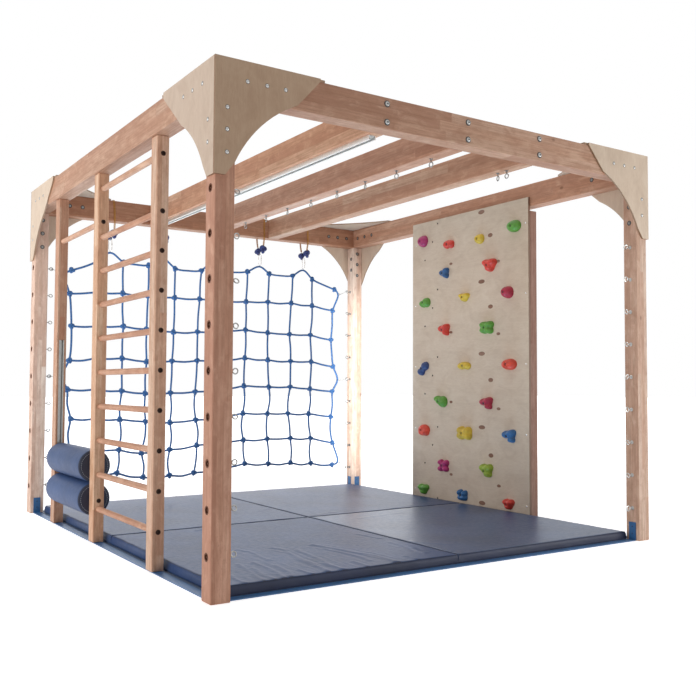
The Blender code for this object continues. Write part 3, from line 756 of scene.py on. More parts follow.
# Washer-head bolts in pairs at each cross beam, front and back
washers, heads, sockets = bmesh.new(), bmesh.new(), bmesh.new()
for row in ("front", "back"):
    axis = Y * -inward(row)
    for x in CROSS_BEAMS:
        for z in (2.209, 2.122):
            place = at(x, y_from(row, 0.0), z)
            washer(washers, place, axis, 0.016, 0.0, 0.0024)
            turned(heads, [(0.0, 0.0023), (0.0118, 0.0023), (0.0114, 0.0046), (0.0098, 0.0066),
                           (0.007, 0.0074), (0.0, 0.0074)], place, axis, 28)
            # The socket as a dark hexagon on the head: painted shade
            hexagon(sockets, place, axis, 0.0088, 0.007, 0.0077)
piece("beam_bolt_washers", washers, ZINC_SHADED)
piece("beam_bolts", heads, STEEL_MID)
piece("beam_bolt_sockets", sockets, BLACK_AND_SHADE)

# Screws in the upturned ends of the rails
RAIL_END = POST + 0.0053
shape = bmesh.new()
for row, side in CORNERS:
    for z in (0.04, 0.08):
        for in_x, in_y, axis in ((RAIL_END, POST / 2.0, X * inward(side)),
                                 (POST / 2.0, RAIL_END, Y * inward(row))):
            dome(shape, at(x_from(side, in_x), y_from(row, in_y), z), axis, 0.0055, 0.0022)
piece("rail_screws", shape, BLUE_DEEP)


# Climbing net
def pairs(row):
    """Pairs in metres from a flat row in millimetres."""
    return [(a / 1000.0, b / 1000.0) for a, b in zip(row[::2], row[1::2])]


# Where the net's ropes cross, in millimetres: x, z and so on down each upright, from the left
KNOT_ROWS = [
    (268, 1709, 255, 1538, 272, 1306, 261, 1060, 253, 852, 279, 642, 268, 425, 262, 225),
    (452, 1790, 447, 1560, 455, 1312, 446, 1078, 449, 852, 452, 640, 440, 414, 438, 236),
    (644, 1796, 646, 1566, 652, 1320, 648, 1083, 649, 841, 637, 632, 632, 408, 620, 239),
    (842, 1790, 840, 1560, 833, 1306, 836, 1061, 829, 823, 835, 611, 805, 378, 820, 199),
    (1054, 1782, 1051, 1558, 1047, 1293, 1038, 1069, 1029, 826, 1028, 602, 1029, 395, 1028, 200),
    (1273, 1784, 1261, 1560, 1246, 1301, 1244, 1077, 1230, 835, 1240, 617, 1250, 421, 1229, 210),
    (1465, 1796, 1460, 1562, 1452, 1318, 1450, 1092, 1446, 862, 1440, 640, 1452, 438, 1448, 240),
    (1675, 1807, 1663, 1563, 1663, 1334, 1658, 1108, 1652, 883, 1644, 663, 1650, 449, 1667, 260),
    (1873, 1805, 1863, 1570, 1865, 1319, 1867, 1096, 1880, 875, 1866, 657, 1866, 450, 1880, 249),
    (2096, 1805, 2083, 1576, 2068, 1313, 2082, 1088, 2079, 875, 2060, 655, 2083, 450, 2089, 248),
    (2287, 1789, 2288, 1565, 2271, 1314, 2284, 1089, 2270, 860, 2260, 651, 2281, 444, 2282, 235),
    (2513, 1716, 2494, 1533, 2479, 1280, 2502, 1050, 2493, 838, 2482, 622, 2499, 399, 2494, 212),
]
KNOTS = [pairs(row) for row in KNOT_ROWS]
# Places between knots where a hanger lifts the top level, and where the lacing pulls the edge ropes out
PEAKS = {1: (0.545, 1.868), 3: (0.945, 1.866), 5: (1.366, 1.866), 7: (1.786, 1.864), 9: (2.2, 1.868)}
EDGES = {0: {0: (0.212, 1.674), 3: (0.205, 0.945), 6: (0.203, 0.236)},
         11: {0: (2.559, 1.677), 3: (2.553, 0.939), 6: (2.562, 0.234)}}


def softened(line, spacing=0.011, rounds=12):
    """The same line with even steps and no bend tighter than the rope takes."""
    total = length_of(line)
    steps = max(8, round(total / spacing))
    even = []
    gone = 0.0
    k = 0
    for i in range(steps + 1):
        want = total * i / steps
        while k < len(line) - 2 and gone + (line[k + 1] - line[k]).length < want:
            gone += (line[k + 1] - line[k]).length
            k += 1
        part = (want - gone) / max(1e-9, (line[k + 1] - line[k]).length)
        even.append(line[k].lerp(line[k + 1], min(1.0, part)))
    for _ in range(rounds):
        inner = [b * 0.5 + (a + c) * 0.25 for a, b, c in zip(even, even[1:], even[2:])]
        even = [even[0], *inner, even[-1]]
    return even


def cord(name, line, radius, material):
    """A rope or cord as a tube along a line, standing for the climbing net."""
    shape = bmesh.new()
    tube(shape, line, radius)
    made = piece(name, shape, material, stands_for=("climbing_net",), sharp=80.0)


def wander(size):
    return random.uniform(-size, size)


def net_rope(name, points):
    cord(name, softened(bend_through(points, 7)), 0.0075, ROPE_BLUE)


for number, column in enumerate(KNOTS):
    points = [at(column[0][0], NET_Y, column[0][1])]
    for k, ((x, z), (x_next, z_next)) in enumerate(zip(column, column[1:])):
        slack = random.choice((-1.0, 1.0)) * random.uniform(0.007, 0.017) if k >= 4 else wander(0.006)
        between = ((x + x_next) / 2.0 + slack, (z + z_next) / 2.0)
        x, z = EDGES.get(number, {}).get(k, between)
        points += [at(x, NET_Y + wander(0.004), z), at(x_next, NET_Y, z_next)]
    net_rope(f"net_upright_{number + 1:02d}", points)
for k, level in enumerate(zip(*KNOTS)):
    points = [at(level[0][0], NET_Y, level[0][1])]
    for number, ((x, z), (x_next, z_next)) in enumerate(zip(level, level[1:])):
        sag = random.uniform(0.003, 0.011) + (0.008 if k == 7 else 0.0)
        between = ((x + x_next) / 2.0, (z + z_next) / 2.0 - sag)
        x, z = PEAKS.get(number, between) if k == 0 else between
        points += [at(x, NET_Y + wander(0.003), z), at(x_next, NET_Y, z_next)]
    net_rope(f"net_level_{k + 1:02d}", points)


def knot(shape, place, size, turn, thick, sides=8, tall=1.0):
    """A trefoil knot, lying mostly in the plane of the net."""
    spin = Matrix.Diagonal((1.0, 1.0, tall)) @ Matrix.Rotation(turn, 3, "Y")
    line = []
    for t in [math.tau * i / 40.0 for i in range(40)]:
        local = Vector((math.sin(t) + 2.0 * math.sin(2.0 * t), -1.1 * math.sin(3.0 * t),
                        math.cos(t) - 2.0 * math.cos(2.0 * t))) * size
        line.append(place + spin @ local)
    tube(shape, line, thick, sides, closed=True)


shape = bmesh.new()
for column in KNOTS:
    for x, z in column:
        knot(shape, at(x, NET_Y, z), 0.0054, random.uniform(0.0, 6.28), 0.0088)
piece("net_knots", shape, ROPE_BLUE, sharp=80.0)

# Hangers: a thin doubled cord round the back beam, two round knots, and a carabiner down to the net
CORD = 0.003
CORD_TOP = BEAM_TOP + CORD + 0.0004
CORD_NEAR = DEPTH - POST - CORD - 0.0004
CORD_FAR = DEPTH + CORD + 0.0004
CARABINER_TOP = 1.966
CARABINER_HALF = 0.012
for number, (x, z) in enumerate(PEAKS.values(), start=1):
    lean = wander(0.004)
    route = [(0.023, NET_Y - 0.016, 2.026), (0.019, NET_Y - 0.032, 2.062), (0.014, CORD_NEAR, 2.102),
             (0.012, CORD_NEAR, 2.165), (0.011 + lean, CORD_NEAR, 2.228),
             (0.01 + lean, CORD_NEAR + 0.012, CORD_TOP), (0.004, NET_Y, CORD_TOP),
             (lean, CORD_FAR - 0.012, CORD_TOP), (-0.001, CORD_FAR, 2.228), (-0.002, CORD_FAR, 2.16),
             (-0.004, CORD_FAR, 2.1), (-0.007, NET_Y + 0.036, 2.056), (-0.009, NET_Y + 0.02, 2.014)]
    for strand, aside in (("right", 0.0038), ("left", -0.0038)):
        line = bend_through([at(x + along + aside, y, height) for along, y, height in route], 6)
        cord(f"hanger_cord_{strand}_{number}", line, CORD, CORD_ORANGE)
    shape = bmesh.new()
    for along, y, height, size in ((-0.009, 0.018, 1.981, 0.0061), (0.022, -0.014, 2.002, 0.0071)):
        turn = random.uniform(0.0, 6.28)
        knot(shape, at(x + along, NET_Y + y, height), size, turn, 0.0116, tall=1.25)
    piece(f"hanger_knots_{number}", shape, ROPE_KNOT, sharp=80.0)
    shape = bmesh.new()
    low, high = z + 0.004, CARABINER_TOP
    oval = [(-1.0, low + 0.018), (-0.75, low + 0.004), (0.0, low - 0.002), (0.75, low + 0.004),
            (1.0, low + 0.018), (1.0, high - 0.03), (0.8, high - 0.012), (0.0, high - 0.004),
            (-0.8, high - 0.012), (-1.0, high - 0.03)]
    line = [at(x + CARABINER_HALF * part, NET_Y, height) for part, height in oval]
    tube(shape, bend_through(line, 5, closed=True), 0.0027, closed=True)
    sleeve = at(x + CARABINER_HALF, NET_Y, (low + high) / 2.0 - 0.012)
    puck(shape, sleeve, Z, 0.0046, 0.0, 0.024, 0.0004, 16, 0.002)
    piece(f"carabiner_{number}", shape, STEEL_BRIGHT)

# Side lacing, from the net's edge ropes to the eyebolts of the back posts
for side, bulges in zip(("left", "right"), EDGES.values()):
    out = X * -inward(side)
    for (x, z), level in zip(bulges.values(), (8, 4, 0)):
        edge = at(x, NET_Y, z)
        eye = at(x_from(side, POST + EYE[0]), NET_Y, POST_LEVELS[level])
        start, end = edge + out * 0.004, eye - out * 0.015 + Y * 0.004
        line = [start.lerp(end, t) - Z * 0.012 * t * (1.0 - t) for t in [i / 14.0 for i in range(15)]]
        through = ((-0.01, 0.0052), (-0.004, 0.004), (0.002, 0.002), (0.007, 0.0))
        line += [eye + out * ahead + Y * y for ahead, y in through]
        cord(f"lacing_{side}_{level + 1}", line, 0.0017, CORD_WHITE)
        shape = bmesh.new()
        wire_ring(shape, eye - out * EYE[1], (1.0, 0.0, 0.2), 0.0052, 0.0017)
        wire_ring(shape, edge, (1.0, 0.0, 0.3), 0.0088, 0.0017)
        knot(shape, line[2], 0.0014, 0.4, 0.0016, 6)
        knot(shape, line[-3], 0.0014, 1.4, 0.0016, 6)
        piece(f"lacing_loops_{side}_{level + 1}", shape, CORD_WHITE, sharp=80.0)


# Climbing panel: board with its row holes
def applied(made):
    """Apply an object's modifiers to its mesh."""
    graph = bpy.context.evaluated_depsgraph_get()
    mesh = bpy.data.meshes.new_from_object(made.evaluated_get(graph))
    made.modifiers.clear()
    old, made.data = made.data, mesh
    bpy.data.meshes.remove(old)


def box(shape, *spans):
    """A block, given by its spans along X, Y and Z."""
    size = [high - low for low, high in spans]
    middle = Matrix.Translation(at(*[(low + high) / 2.0 for low, high in spans]))
    bmesh.ops.create_cube(shape, size=1.0, matrix=middle @ Matrix.Diagonal((*size, 1.0)))


# Each row of holes: along Y, radius, heights
HOLE_ROWS = (
    (1.786, 0.0065, (2.118, 1.616, 1.106, 0.581, 0.052)), (1.846, 0.0065, (1.986, 1.481, 0.967, 0.443)),
    (1.203, 0.0065, (1.946, 1.444, 0.931, 0.408)), (1.937, 0.0065, (1.855, 1.346, 0.828, 0.302)),
    (1.627, 0.0065, (1.793, 1.285, 0.771, 0.241)), (1.127, 0.0065, (1.753, 1.25, 0.733, 0.206)),
    (1.291, 0.0085, (2.124, 1.628, 1.117, 0.599, 0.071)))
HOLES = [(y, z, radius) for y, radius, levels in HOLE_ROWS for z in levels]
shape = bmesh.new()
box(shape, (PANEL_FACE, PANEL_BACK), PANEL_Y, PANEL_Z)
bmesh.ops.bevel(shape, geom=list(shape.edges), offset=0.0012, segments=2, affect="EDGES", profile=0.5)
board = loose("panel_board", shape)
shape = bmesh.new()
for y, z, radius in HOLES:
    turned(shape, [(0.0, -0.01), (radius, -0.01), (radius, 0.012), (0.0, 0.012)],
           at(PANEL_FACE, y, z), X, 20)
bmesh.ops.recalc_face_normals(shape, faces=shape.faces)
cutter = loose("panel_cutter", shape)
cut = board.modifiers.new("holes", "BOOLEAN")
cut.operation = "DIFFERENCE"
cut.solver = "EXACT"
cut.object = cutter
applied(board)
bpy.data.objects.remove(cutter, do_unlink=True)
panel_ply = birch("ply_panel", "x", "y", next(seeds), 0.018, 9, (0.2, 0.105, 0.066), (0.96, 1.0, 1.02))
finished(board, panel_ply, "frame", ("climbing_panel",), 32.0)

inserts, floors, screws = bmesh.new(), bmesh.new(), bmesh.new()
for y, z, radius in HOLES:
    place = at(PANEL_FACE, y, z)
    turned(inserts, [(radius - 0.0017, 0.0115), (radius - 0.0017, 0.0015), (radius - 0.001, 0.0008),
                     (radius - 0.0003, 0.0015), (radius - 0.0003, 0.0115)], place, X, 20)
    # A dark disc at the floor of each hole: painted shade
    turned(floors, [(0.0, 0.0112), (radius - 0.0004, 0.0112), (radius - 0.0004, 0.0118), (0.0, 0.0118)],
           place, X, 20)
for y in (0.872, 2.05):
    for z in (1.981, 1.509, 1.037, 0.568, 0.097):
        dome(screws, at(PANEL_FACE, y, z), -X, 0.006, 0.002)
piece("panel_inserts", inserts, ZINC_SHADED)
piece("panel_hole_floors", floors, BLACK_AND_SHADE)
piece("panel_screws", screws, STEEL_BRIGHT)

# Darker ovals round some rows of holes, set a little to one side: half width, half height
PATCHES = {1.291: (0.033, 0.015), 1.203: (0.0245, 0.015), 1.127: (0.019, 0.0105), 1.627: (0.0175, 0.01)}
shape = bmesh.new()
for y, z, _ in HOLES:
    if y in PATCHES:
        wide, tall = PATCHES[y]
        rings = []
        for part, lift in ((1.0, -0.0001), (0.97, 0.0003), (0.62, 0.0003)):
            oval = [(y + wide * (0.3 + part * c), z + tall * part * s) for c, s in circle(32)]
            rings.append([shape.verts.new(at(PANEL_FACE - lift, *place)) for place in oval])
        skin(shape, rings)
        shape.faces.new(rings[0][::-1])
        shape.faces.new(rings[2])
oval_timber = timber("timber_patch", "y", next(seeds), -0.2, shade=(0.5, 0.52, 0.56))
piece("panel_dark_ovals", shape, oval_timber)

RED = (0.7, 0.05, 0.03)
YELLOW = (0.72, 0.5, 0.045)
GREEN = (0.105, 0.33, 0.035)
LIME = (0.3, 0.43, 0.035)
SKY = (0.03, 0.15, 0.38)
CRIMSON = (0.44, 0.02, 0.055)
ORANGE = (0.76, 0.07, 0.035)
MAGENTA = (0.42, 0.025, 0.14)
# Shapes as lobes, in hundredths of the half width and half height: right, up, wide, tall
EGG = ((-18, 0, 80, 92), (12, 0, 86, 98))
BEAN = ((-42, -5, 58, 92), (42, -8, 58, 92), (0, 22, 72, 76))
TRIANGLE_LEFT = ((-42, 5, 58, 62), (46, 46, 52, 52), (42, -52, 48, 48), (12, 0, 74, 74))
TRIANGLE_DOWN = ((-44, 40, 54, 56), (44, 40, 54, 56), (2, -40, 54, 58), (0, 12, 80, 78))
MITTEN = ((-42, 16, 56, 60), (44, 46, 52, 50), (42, -56, 40, 44), (16, 16, 70, 62))
SQUARE = ((-42, 38, 54, 58), (46, 42, 52, 56), (-42, -40, 50, 54), (40, -46, 52, 52), (0, 8, 74, 72))
CROSS = ((-50, 50, 44, 48), (-50, -50, 44, 48), (50, 46, 46, 50), (46, -50, 46, 48), (0, 0, 58, 58))
BOW = ((-50, 36, 48, 60), (-50, -36, 48, 60), (50, 32, 50, 62), (50, -32, 50, 62), (0, 0, 78, 78))
# Each hold, in millimetres: along Y, height, half width, half height, how far out; colour; lobes
HOLDS = (
    (1951, 2004, 51, 45, 45, MAGENTA, EGG),
    (1644, 1940, 53, 32, 40, RED, BEAN),
    (1312, 1933, 43, 35, 42, YELLOW, EGG),
    (968, 1972, 59, 41, 50, GREEN, EGG),
    (1693, 1729, 43, 40, 45, (0.024, 0.105, 0.27), TRIANGLE_LEFT),
    (1203, 1732, 62, 45, 55, RED, TRIANGLE_DOWN),
    (1922, 1527, 53, 37, 45, GREEN, ((-42, -12, 56, 70), (26, 8, 74, 90))),
    (1472, 1529, 49, 31, 45, YELLOW, TRIANGLE_DOWN),
    (1025, 1527, 42, 42, 70, CRIMSON, ((0, 0, 100, 100),)),
    (1694, 1306, 53, 44, 50, RED, MITTEN),
    (1235, 1298, 61, 45, 50, GREEN, SQUARE),
    (1942, 1021, 55, 53, 45, (0.022, 0.056, 0.195),
     ((38, 36, 58, 60), (-42, -42, 54, 56), (0, 0, 42, 42))),
    (1477, 1035, 64, 29, 38, YELLOW, BEAN),
    (1017, 1036, 63, 38, 55, ORANGE, EGG),
    (1734, 773, 63, 43, 48, GREEN, ((-56, 36, 42, 52), (28, -6, 70, 90), (-15, 10, 55, 70))),
    (1242, 770, 56, 43, 50, CRIMSON, MITTEN),
    (1935, 552, 59, 43, 50, ORANGE, ((0, 5, 95, 90), (-20, -30, 60, 62), (25, -30, 60, 62))),
    (1468, 551, 67, 49, 55, YELLOW, BOW),
    (1020, 553, 56, 45, 50, SKY, MITTEN),
    (1705, 300, 53, 45, 42, (0.45, 0.022, 0.16), CROSS),
    (1244, 302, 58, 47, 50, LIME,
     ((-46, 36, 52, 56), (46, 44, 52, 52), (30, -50, 48, 50), (6, 12, 78, 72))),
    (1941, 104, 58, 38, 42, GREEN, TRIANGLE_DOWN),
    (1493, 106, 44, 40, 45, SKY,
     ((-50, 42, 46, 56), (50, 34, 46, 56), (-28, -36, 58, 60), (34, -36, 58, 60))),
    (1027, 94, 48, 35, 45, RED, TRIANGLE_DOWN),
)
BOLT_WELL = 0.0125


def hold(name, y, z, wide, tall, out, colour, lobes):
    """One climbing hold: lobes grown together, flat at the board, with a sunk bolt."""
    shape = bmesh.new()
    deep = out * (0.86 if len(lobes) > 1 else 1.0)
    for lobe in lobes:
        right, up, lobe_wide, lobe_tall = (n / 100.0 for n in lobe)
        place = Matrix.Translation((0.0, -right * wide, up * tall))
        scale = Matrix.Diagonal((deep, wide * lobe_wide, tall * lobe_tall, 1.0))
        bmesh.ops.create_icosphere(shape, subdivisions=3, radius=1.0, matrix=place @ scale)
    body = loose(name, shape)
    remesh = body.modifiers.new("grow", "REMESH")
    remesh.mode = "VOXEL"
    remesh.voxel_size = 0.0036
    smooth = body.modifiers.new("soften", "SMOOTH")
    smooth.factor = 0.6
    smooth.iterations = 13
    applied(body)
    # Stretched to its measured size, uneven, cut flat at the board, with a well for the bolt
    points = [vertex.co.copy() for vertex in body.data.vertices]
    lows, highs = ([limit(point[k] for point in points) for k in range(3)] for limit in (min, max))
    middle = Vector((0.0, (highs[1] + lows[1]) / 2.0, (highs[2] + lows[2]) / 2.0))
    stretch = Vector((out / -lows[0], 2.0 * wide / (highs[1] - lows[1]),
                      2.0 * tall / (highs[2] - lows[2])))
    for vertex, point in zip(body.data.vertices, points):
        co = (point - middle) * stretch
        lump = noise.noise(co * 45.0 + Vector((y * 9.0, z * 9.0, 0.0))) * 0.0018
        co.x = min(co.x * (1.0 + lump * 8.0), 0.0002)
        reach = math.hypot(co.y, co.z)
        if reach < BOLT_WELL and co.x < -0.4 * out:
            co.x += 0.01 * (1.0 - (reach / BOLT_WELL) ** 4)
        vertex.co = co + at(PANEL_FACE, y, z)
    finished(body, resin(name, colour), "frame", ("climbing_panel",))


bolts, nuts = bmesh.new(), bmesh.new()
fixings = [(y, z) for y, z, _ in HOLES]
for number, (*sizes, colour, lobes) in enumerate(HOLDS, start=1):
    y, z, wide, tall, out = (n / 1000.0 for n in sizes)
    hold(f"hold_{number:02d}", y, z, wide, tall, out, colour, lobes)
    turned(bolts, [(0.007, 0.0), (0.0074, 0.001), (0.0074, 0.0045), (0.0066, 0.0052), (0.0038, 0.0052),
                   (0.0036, 0.002), (0.0, 0.0018)], at(PANEL_FACE - out + 0.0135, y, z), -X, 20)
    fixings.append((y, z))
piece("hold_bolts", bolts, BLACK_AND_SHADE)

# Flanged nuts on the back of the panel, clear of the battens
for y, z in fixings:
    if PANEL_Y[0] + 0.1 < y < PANEL_Y[1] - 0.1:
        turned(nuts, [(0.0045, -0.01), (0.0062, -0.01), (0.0062, -0.0003), (0.012, -0.0003),
                      (0.012, 0.0007), (0.0114, 0.0011), (0.005, 0.0011), (0.0045, 0.0006),
                      (0.0045, -0.01)], at(PANEL_BACK, y, z), X, 20)
piece("panel_back_nuts", nuts, ZINC)

# Rollers: padded, covered with vinyl, turned ends and a stitched ring
ROLLER_Y = (LADDER_ENDS[1] + 0.004, LADDER_STARTS[2] - 0.036)
# The end of a roller from its bore outwards: radius, way in from the end
ROLLER_END = ((0.0072, 0.004), (0.02, 0.0022), (0.045, 0.0008), (0.066, 0.0006), (0.079, 0.0012),
              (0.086, 0.0026), (0.0898, 0.0056), (0.0914, 0.01), (0.0921, 0.017), (0.0925, 0.026))
STITCHES = 44


def roller(name, node, body, height, seed):
    """A padded roller: its cover, puckered towards the ends, with stitches and piping."""
    half = (ROLLER_Y[1] - ROLLER_Y[0]) / 2.0
    centre = at(LADDER_X, sum(ROLLER_Y) / 2.0, height)
    end = [(radius, way - half) for radius, way in ROLLER_END]
    ways = [0.04 - half + (2.0 * half - 0.08) * i / 24.0 for i in range(25)]
    barrel = [(ROLLER - 0.0003 - 0.0008 * abs(way / half) ** 3, way) for way in ways]
    shape = bmesh.new()
    turned(shape, end + barrel + [(radius, -way) for radius, way in reversed(end)], centre, Y, 72)
    for vertex in shape.verts:
        local = vertex.co - centre
        out = Vector((local.x, 0.0, local.z))
        if out.length < 0.03:
            continue
        angle = math.atan2(local.z, local.x)
        near_end = max(0.0, 1.0 - (half - abs(local.y)) / 0.06)
        pucker = 0.0011 * near_end * math.sin(17.0 * angle + 2.0 * math.sin(3.0 * angle + seed))
        soft = noise.noise(Vector((math.cos(angle), math.sin(angle), local.y * 4.0)) * 1.7 + X * seed)
        vertex.co += out.normalized() * min(0.0, 0.0005 - 0.001 * abs(soft) - abs(pucker))
    made = piece(name, shape, ROLLER_BLUE, body, (node,), sharp=50.0)
    second_look(made, NAVY_DARK, lambda face: abs(face.center.y - centre.y) > half - 0.007)
    stitches, piping = bmesh.new(), bmesh.new()
    for end in (-1.0, 1.0):
        for i in range(STITCHES):
            line = []
            for part in (0.0, 1.0 / 3.0, 2.0 / 3.0, 1.0):
                turn = math.tau * (i + 0.62 * part) / STITCHES
                out = half - 0.001 + 0.0004 * math.sin(math.pi * part)
                around = Vector((math.cos(turn), 0.0, math.sin(turn)))
                line.append(centre + around * 0.0755 + Y * end * out)
            tube(stitches, line, 0.0009, 6)
        line = [centre + Vector((0.0899 * c, end * (half - 0.007), 0.0899 * s)) for c, s in circle(96)]
        tube(piping, line, 0.0014, 6, closed=True)
    piece(f"{name}_stitches", stitches, THREAD, body)
    piece(f"{name}_piping", piping, NAVY_DARK, body)


roller("roller_lower_pad", "roller_lower", "lower_roller", ROLLER_LOW, 1.0)
roller("roller_upper_pad", "roller_upper", "upper_roller", ROLLER_REST, 5.0)

# Floor mats: foam in loose covers. The top of each cover is simulated as cloth cut a little too large
MAT_TOP = 0.0484
SEAM_INSET = 0.009
COVER_FRAMES = 14
LEFT, RIGHT = (0.094, 1.37605), (1.37635, 2.6584)
FRONT, BACK = (0.074, 1.52235), (1.52265, 2.949)
# Each mat: its spans along X and Y, its seed, how finely its cover is divided, its vinyl
# The vinyls differ in colour to paint in light: the front right one lighter, the front left one darker
MATS = {
    "mat_front_left": ((*LEFT, *FRONT), 1.0, (96, 104),
                       vinyl("navy_vinyl_mat_1", (0.028, 0.062, 0.164), 0.44, 0.24)),
    "mat_front_right": ((*RIGHT, *FRONT), 11.0, (56, 60),
                        vinyl("navy_vinyl_mat_2", (0.046, 0.082, 0.176), 0.37, 0.38)),
    "mat_back_left": ((*LEFT, *BACK), 21.0, (56, 60),
                      vinyl("navy_vinyl_mat_3", (0.036, 0.072, 0.174), 0.43, 0.31)),
    "mat_back_right": ((*RIGHT, *BACK), 31.0, (56, 60),
                       vinyl("navy_vinyl_mat_4", (0.038, 0.072, 0.172), 0.42, 0.35)),
}
# Spare cloth in each cover: a fold's height in tenths of a millimetre, then its half width and the
# places along its line in millimetres
FOLDS = {
    "mat_front_left": (
        (30, 14, 332, 433, 303, 225, 276, 80),
        (34, 12, 343, 322, 329, 161, 335, 75),
        (36, 13, 420, 431, 410, 255, 387, 77),
        (34, 12, 467, 321, 458, 175, 420, 75),
        (46, 16, 687, 578, 650, 395, 627, 246, 613, 85),
        (36, 18, 671, 715, 713, 624, 703, 448, 706, 320),
        (44, 15, 756, 597, 737, 427, 693, 177, 703, 83),
        (50, 19, 897, 671, 932, 550, 974, 428, 1002, 258, 1009, 75),
        (32, 16, 900, 538, 925, 355, 924, 182),
        (34, 20, 1297, 506, 1298, 350, 1276, 192),
        (30, 16, 1291, 818, 1321, 648),
        (34, 20, 491, 765, 531, 647, 508, 457),
        (30, 13, 200, 300, 190, 85),
        (34, 10, 520, 180, 530, 75),
        (34, 11, 840, 200, 830, 75),
        (32, 11, 1130, 170, 1140, 75),
        (36, 14, 560, 1430, 760, 1515)),
    "mat_front_right": (
        (32, 20, 1624, 1304, 1806, 1339, 1985, 1362),
        (24, 24, 1850, 882, 1794, 1008, 1864, 1354),
        (26, 18, 1385, 480, 1500, 300)),
    "mat_back_left": (
        (30, 16, 700, 1535, 820, 1640),
        (28, 18, 1240, 1900, 1340, 1980)),
    "mat_back_right": (
        (30, 18, 1420, 1560, 1620, 1600),
        (26, 18, 2050, 1540, 2300, 1600)),
}


def mat_place(sides, u, v, inset, z, seed):
    """A place on a mat at a part of its width and length; the seam is drawn in unevenly."""
    x0, x1, y0, y1 = sides
    wave = noise.noise(Vector(((x0 + u) * 7.0, (y0 + v) * 7.0, seed)))
    inset += (0.0022 + 0.011 * abs(wave)) * (z / MAT_TOP) ** 2
    return at(x0 + inset + (x1 - x0 - 2.0 * inset) * u, y0 + inset + (y1 - y0 - 2.0 * inset) * v, z)


def from_line(x, y, line):
    """How far a place lies from a fold's line."""
    place = Vector((x, y))
    best = 9.0
    for a, b in zip(line, line[1:]):
        a, b = Vector(a), Vector(b)
        t = max(0.0, min(1.0, (place - a).dot(b - a) / (b - a).length_squared))
        best = min(best, (place - a - (b - a) * t).length)
    return best


def cover_sheet(name, sides, seed, parts, _):
    """The top of one cover, still standing up along its folds, before it settles on the foam."""
    nx, ny = parts
    folds = [(high / 10000.0, wide / 1000.0, pairs(line)) for high, wide, *line in FOLDS[name]]
    places = []
    seam = []
    for j in range(ny + 1):
        for i in range(nx + 1):
            u, v = i / nx, j / ny
            place = mat_place(sides, u, v, SEAM_INSET, MAT_TOP, seed)
            x = sides[0] + (sides[1] - sides[0]) * u
            y = sides[2] + (sides[3] - sides[2]) * v
            x += 0.012 * noise.noise(Vector((x * 9.0, y * 9.0, seed)))
            rise = max([0.0] + [1.3 * high * math.exp(-(from_line(x, y, line) / (1.35 * wide)) ** 2)
                                for high, wide, line in folds])
            if i in (0, nx) or j in (0, ny):
                seam.append(len(places))
                rise *= 0.35
            ripple = noise.noise(Vector((place.x * 9.0, place.y * 4.0, seed + 3.0)))
            place.z += rise + 0.0007 * abs(ripple)
            places.append(place)
    row = nx + 1
    faces = [(a, a + 1, a + row + 1, a + row) for j in range(ny) for a in range(j * row, j * row + nx)]
    mesh = bpy.data.meshes.new(f"{name}_cover")
    mesh.from_pydata(places, [], faces)
    sheet = link(f"{name}_cover", mesh)
    sheet.vertex_groups.new(name="seam").add(seam, 1.0, "REPLACE")
    cloth = sheet.modifiers.new("cover", "CLOTH")
    for key, value in (("quality", 5), ("mass", 0.02), ("tension_stiffness", 80.0),
                       ("compression_stiffness", 80.0), ("shear_stiffness", 20.0),
                       ("bending_stiffness", 0.5), ("vertex_group_mass", "seam")):
        setattr(cloth.settings, key, value)
    cloth.collision_settings.distance_min = 0.001
    return sheet


def held(value, low, high):
    return max(low, min(high, value))


def settled_covers():
    """Let all the covers settle on their foam; gives each one's grid of places."""
    sheets = {name: cover_sheet(name, *row) for name, row in MATS.items()}
    shape = bmesh.new()
    for sides, *_ in MATS.values():
        box(shape, sides[:2], sides[2:], (MAT_TOP - 0.042, MAT_TOP - 0.002))
    foam = loose("mat_foam", shape)
    foam.modifiers.new("foam", "COLLISION")
    foam.collision.thickness_outer = 0.0008
    for step in range(1, COVER_FRAMES + 1):
        bpy.context.scene.frame_set(step)
    graph = bpy.context.evaluated_depsgraph_get()
    grids = {}
    for name, sheet in sheets.items():
        grids[name] = []
        for before, after in zip(sheet.data.vertices, sheet.evaluated_get(graph).data.vertices):
            x, y = (before.co[k] + held(after.co[k] - before.co[k], -0.006, 0.006) for k in (0, 1))
            grids[name].append(Vector((x, y, held(after.co.z, MAT_TOP - 0.0014, MAT_TOP + 0.0052))))
    for made in [foam, *sheets.values()]:
        bpy.data.objects.remove(made, do_unlink=True)
    return grids


def doubled(rows):
    """Put a smooth row between each two rows of places."""
    out = []
    last = len(rows) - 1
    for k in range(last):
        before, after = rows[max(k - 1, 0)], rows[min(k + 2, last)]
        out.append(rows[k])
        four = zip(before, rows[k], rows[k + 1], after)
        out.append([((b + c) * 9.0 - a - d) / 16.0 for a, b, c, d in four])
    return out + [rows[last]]


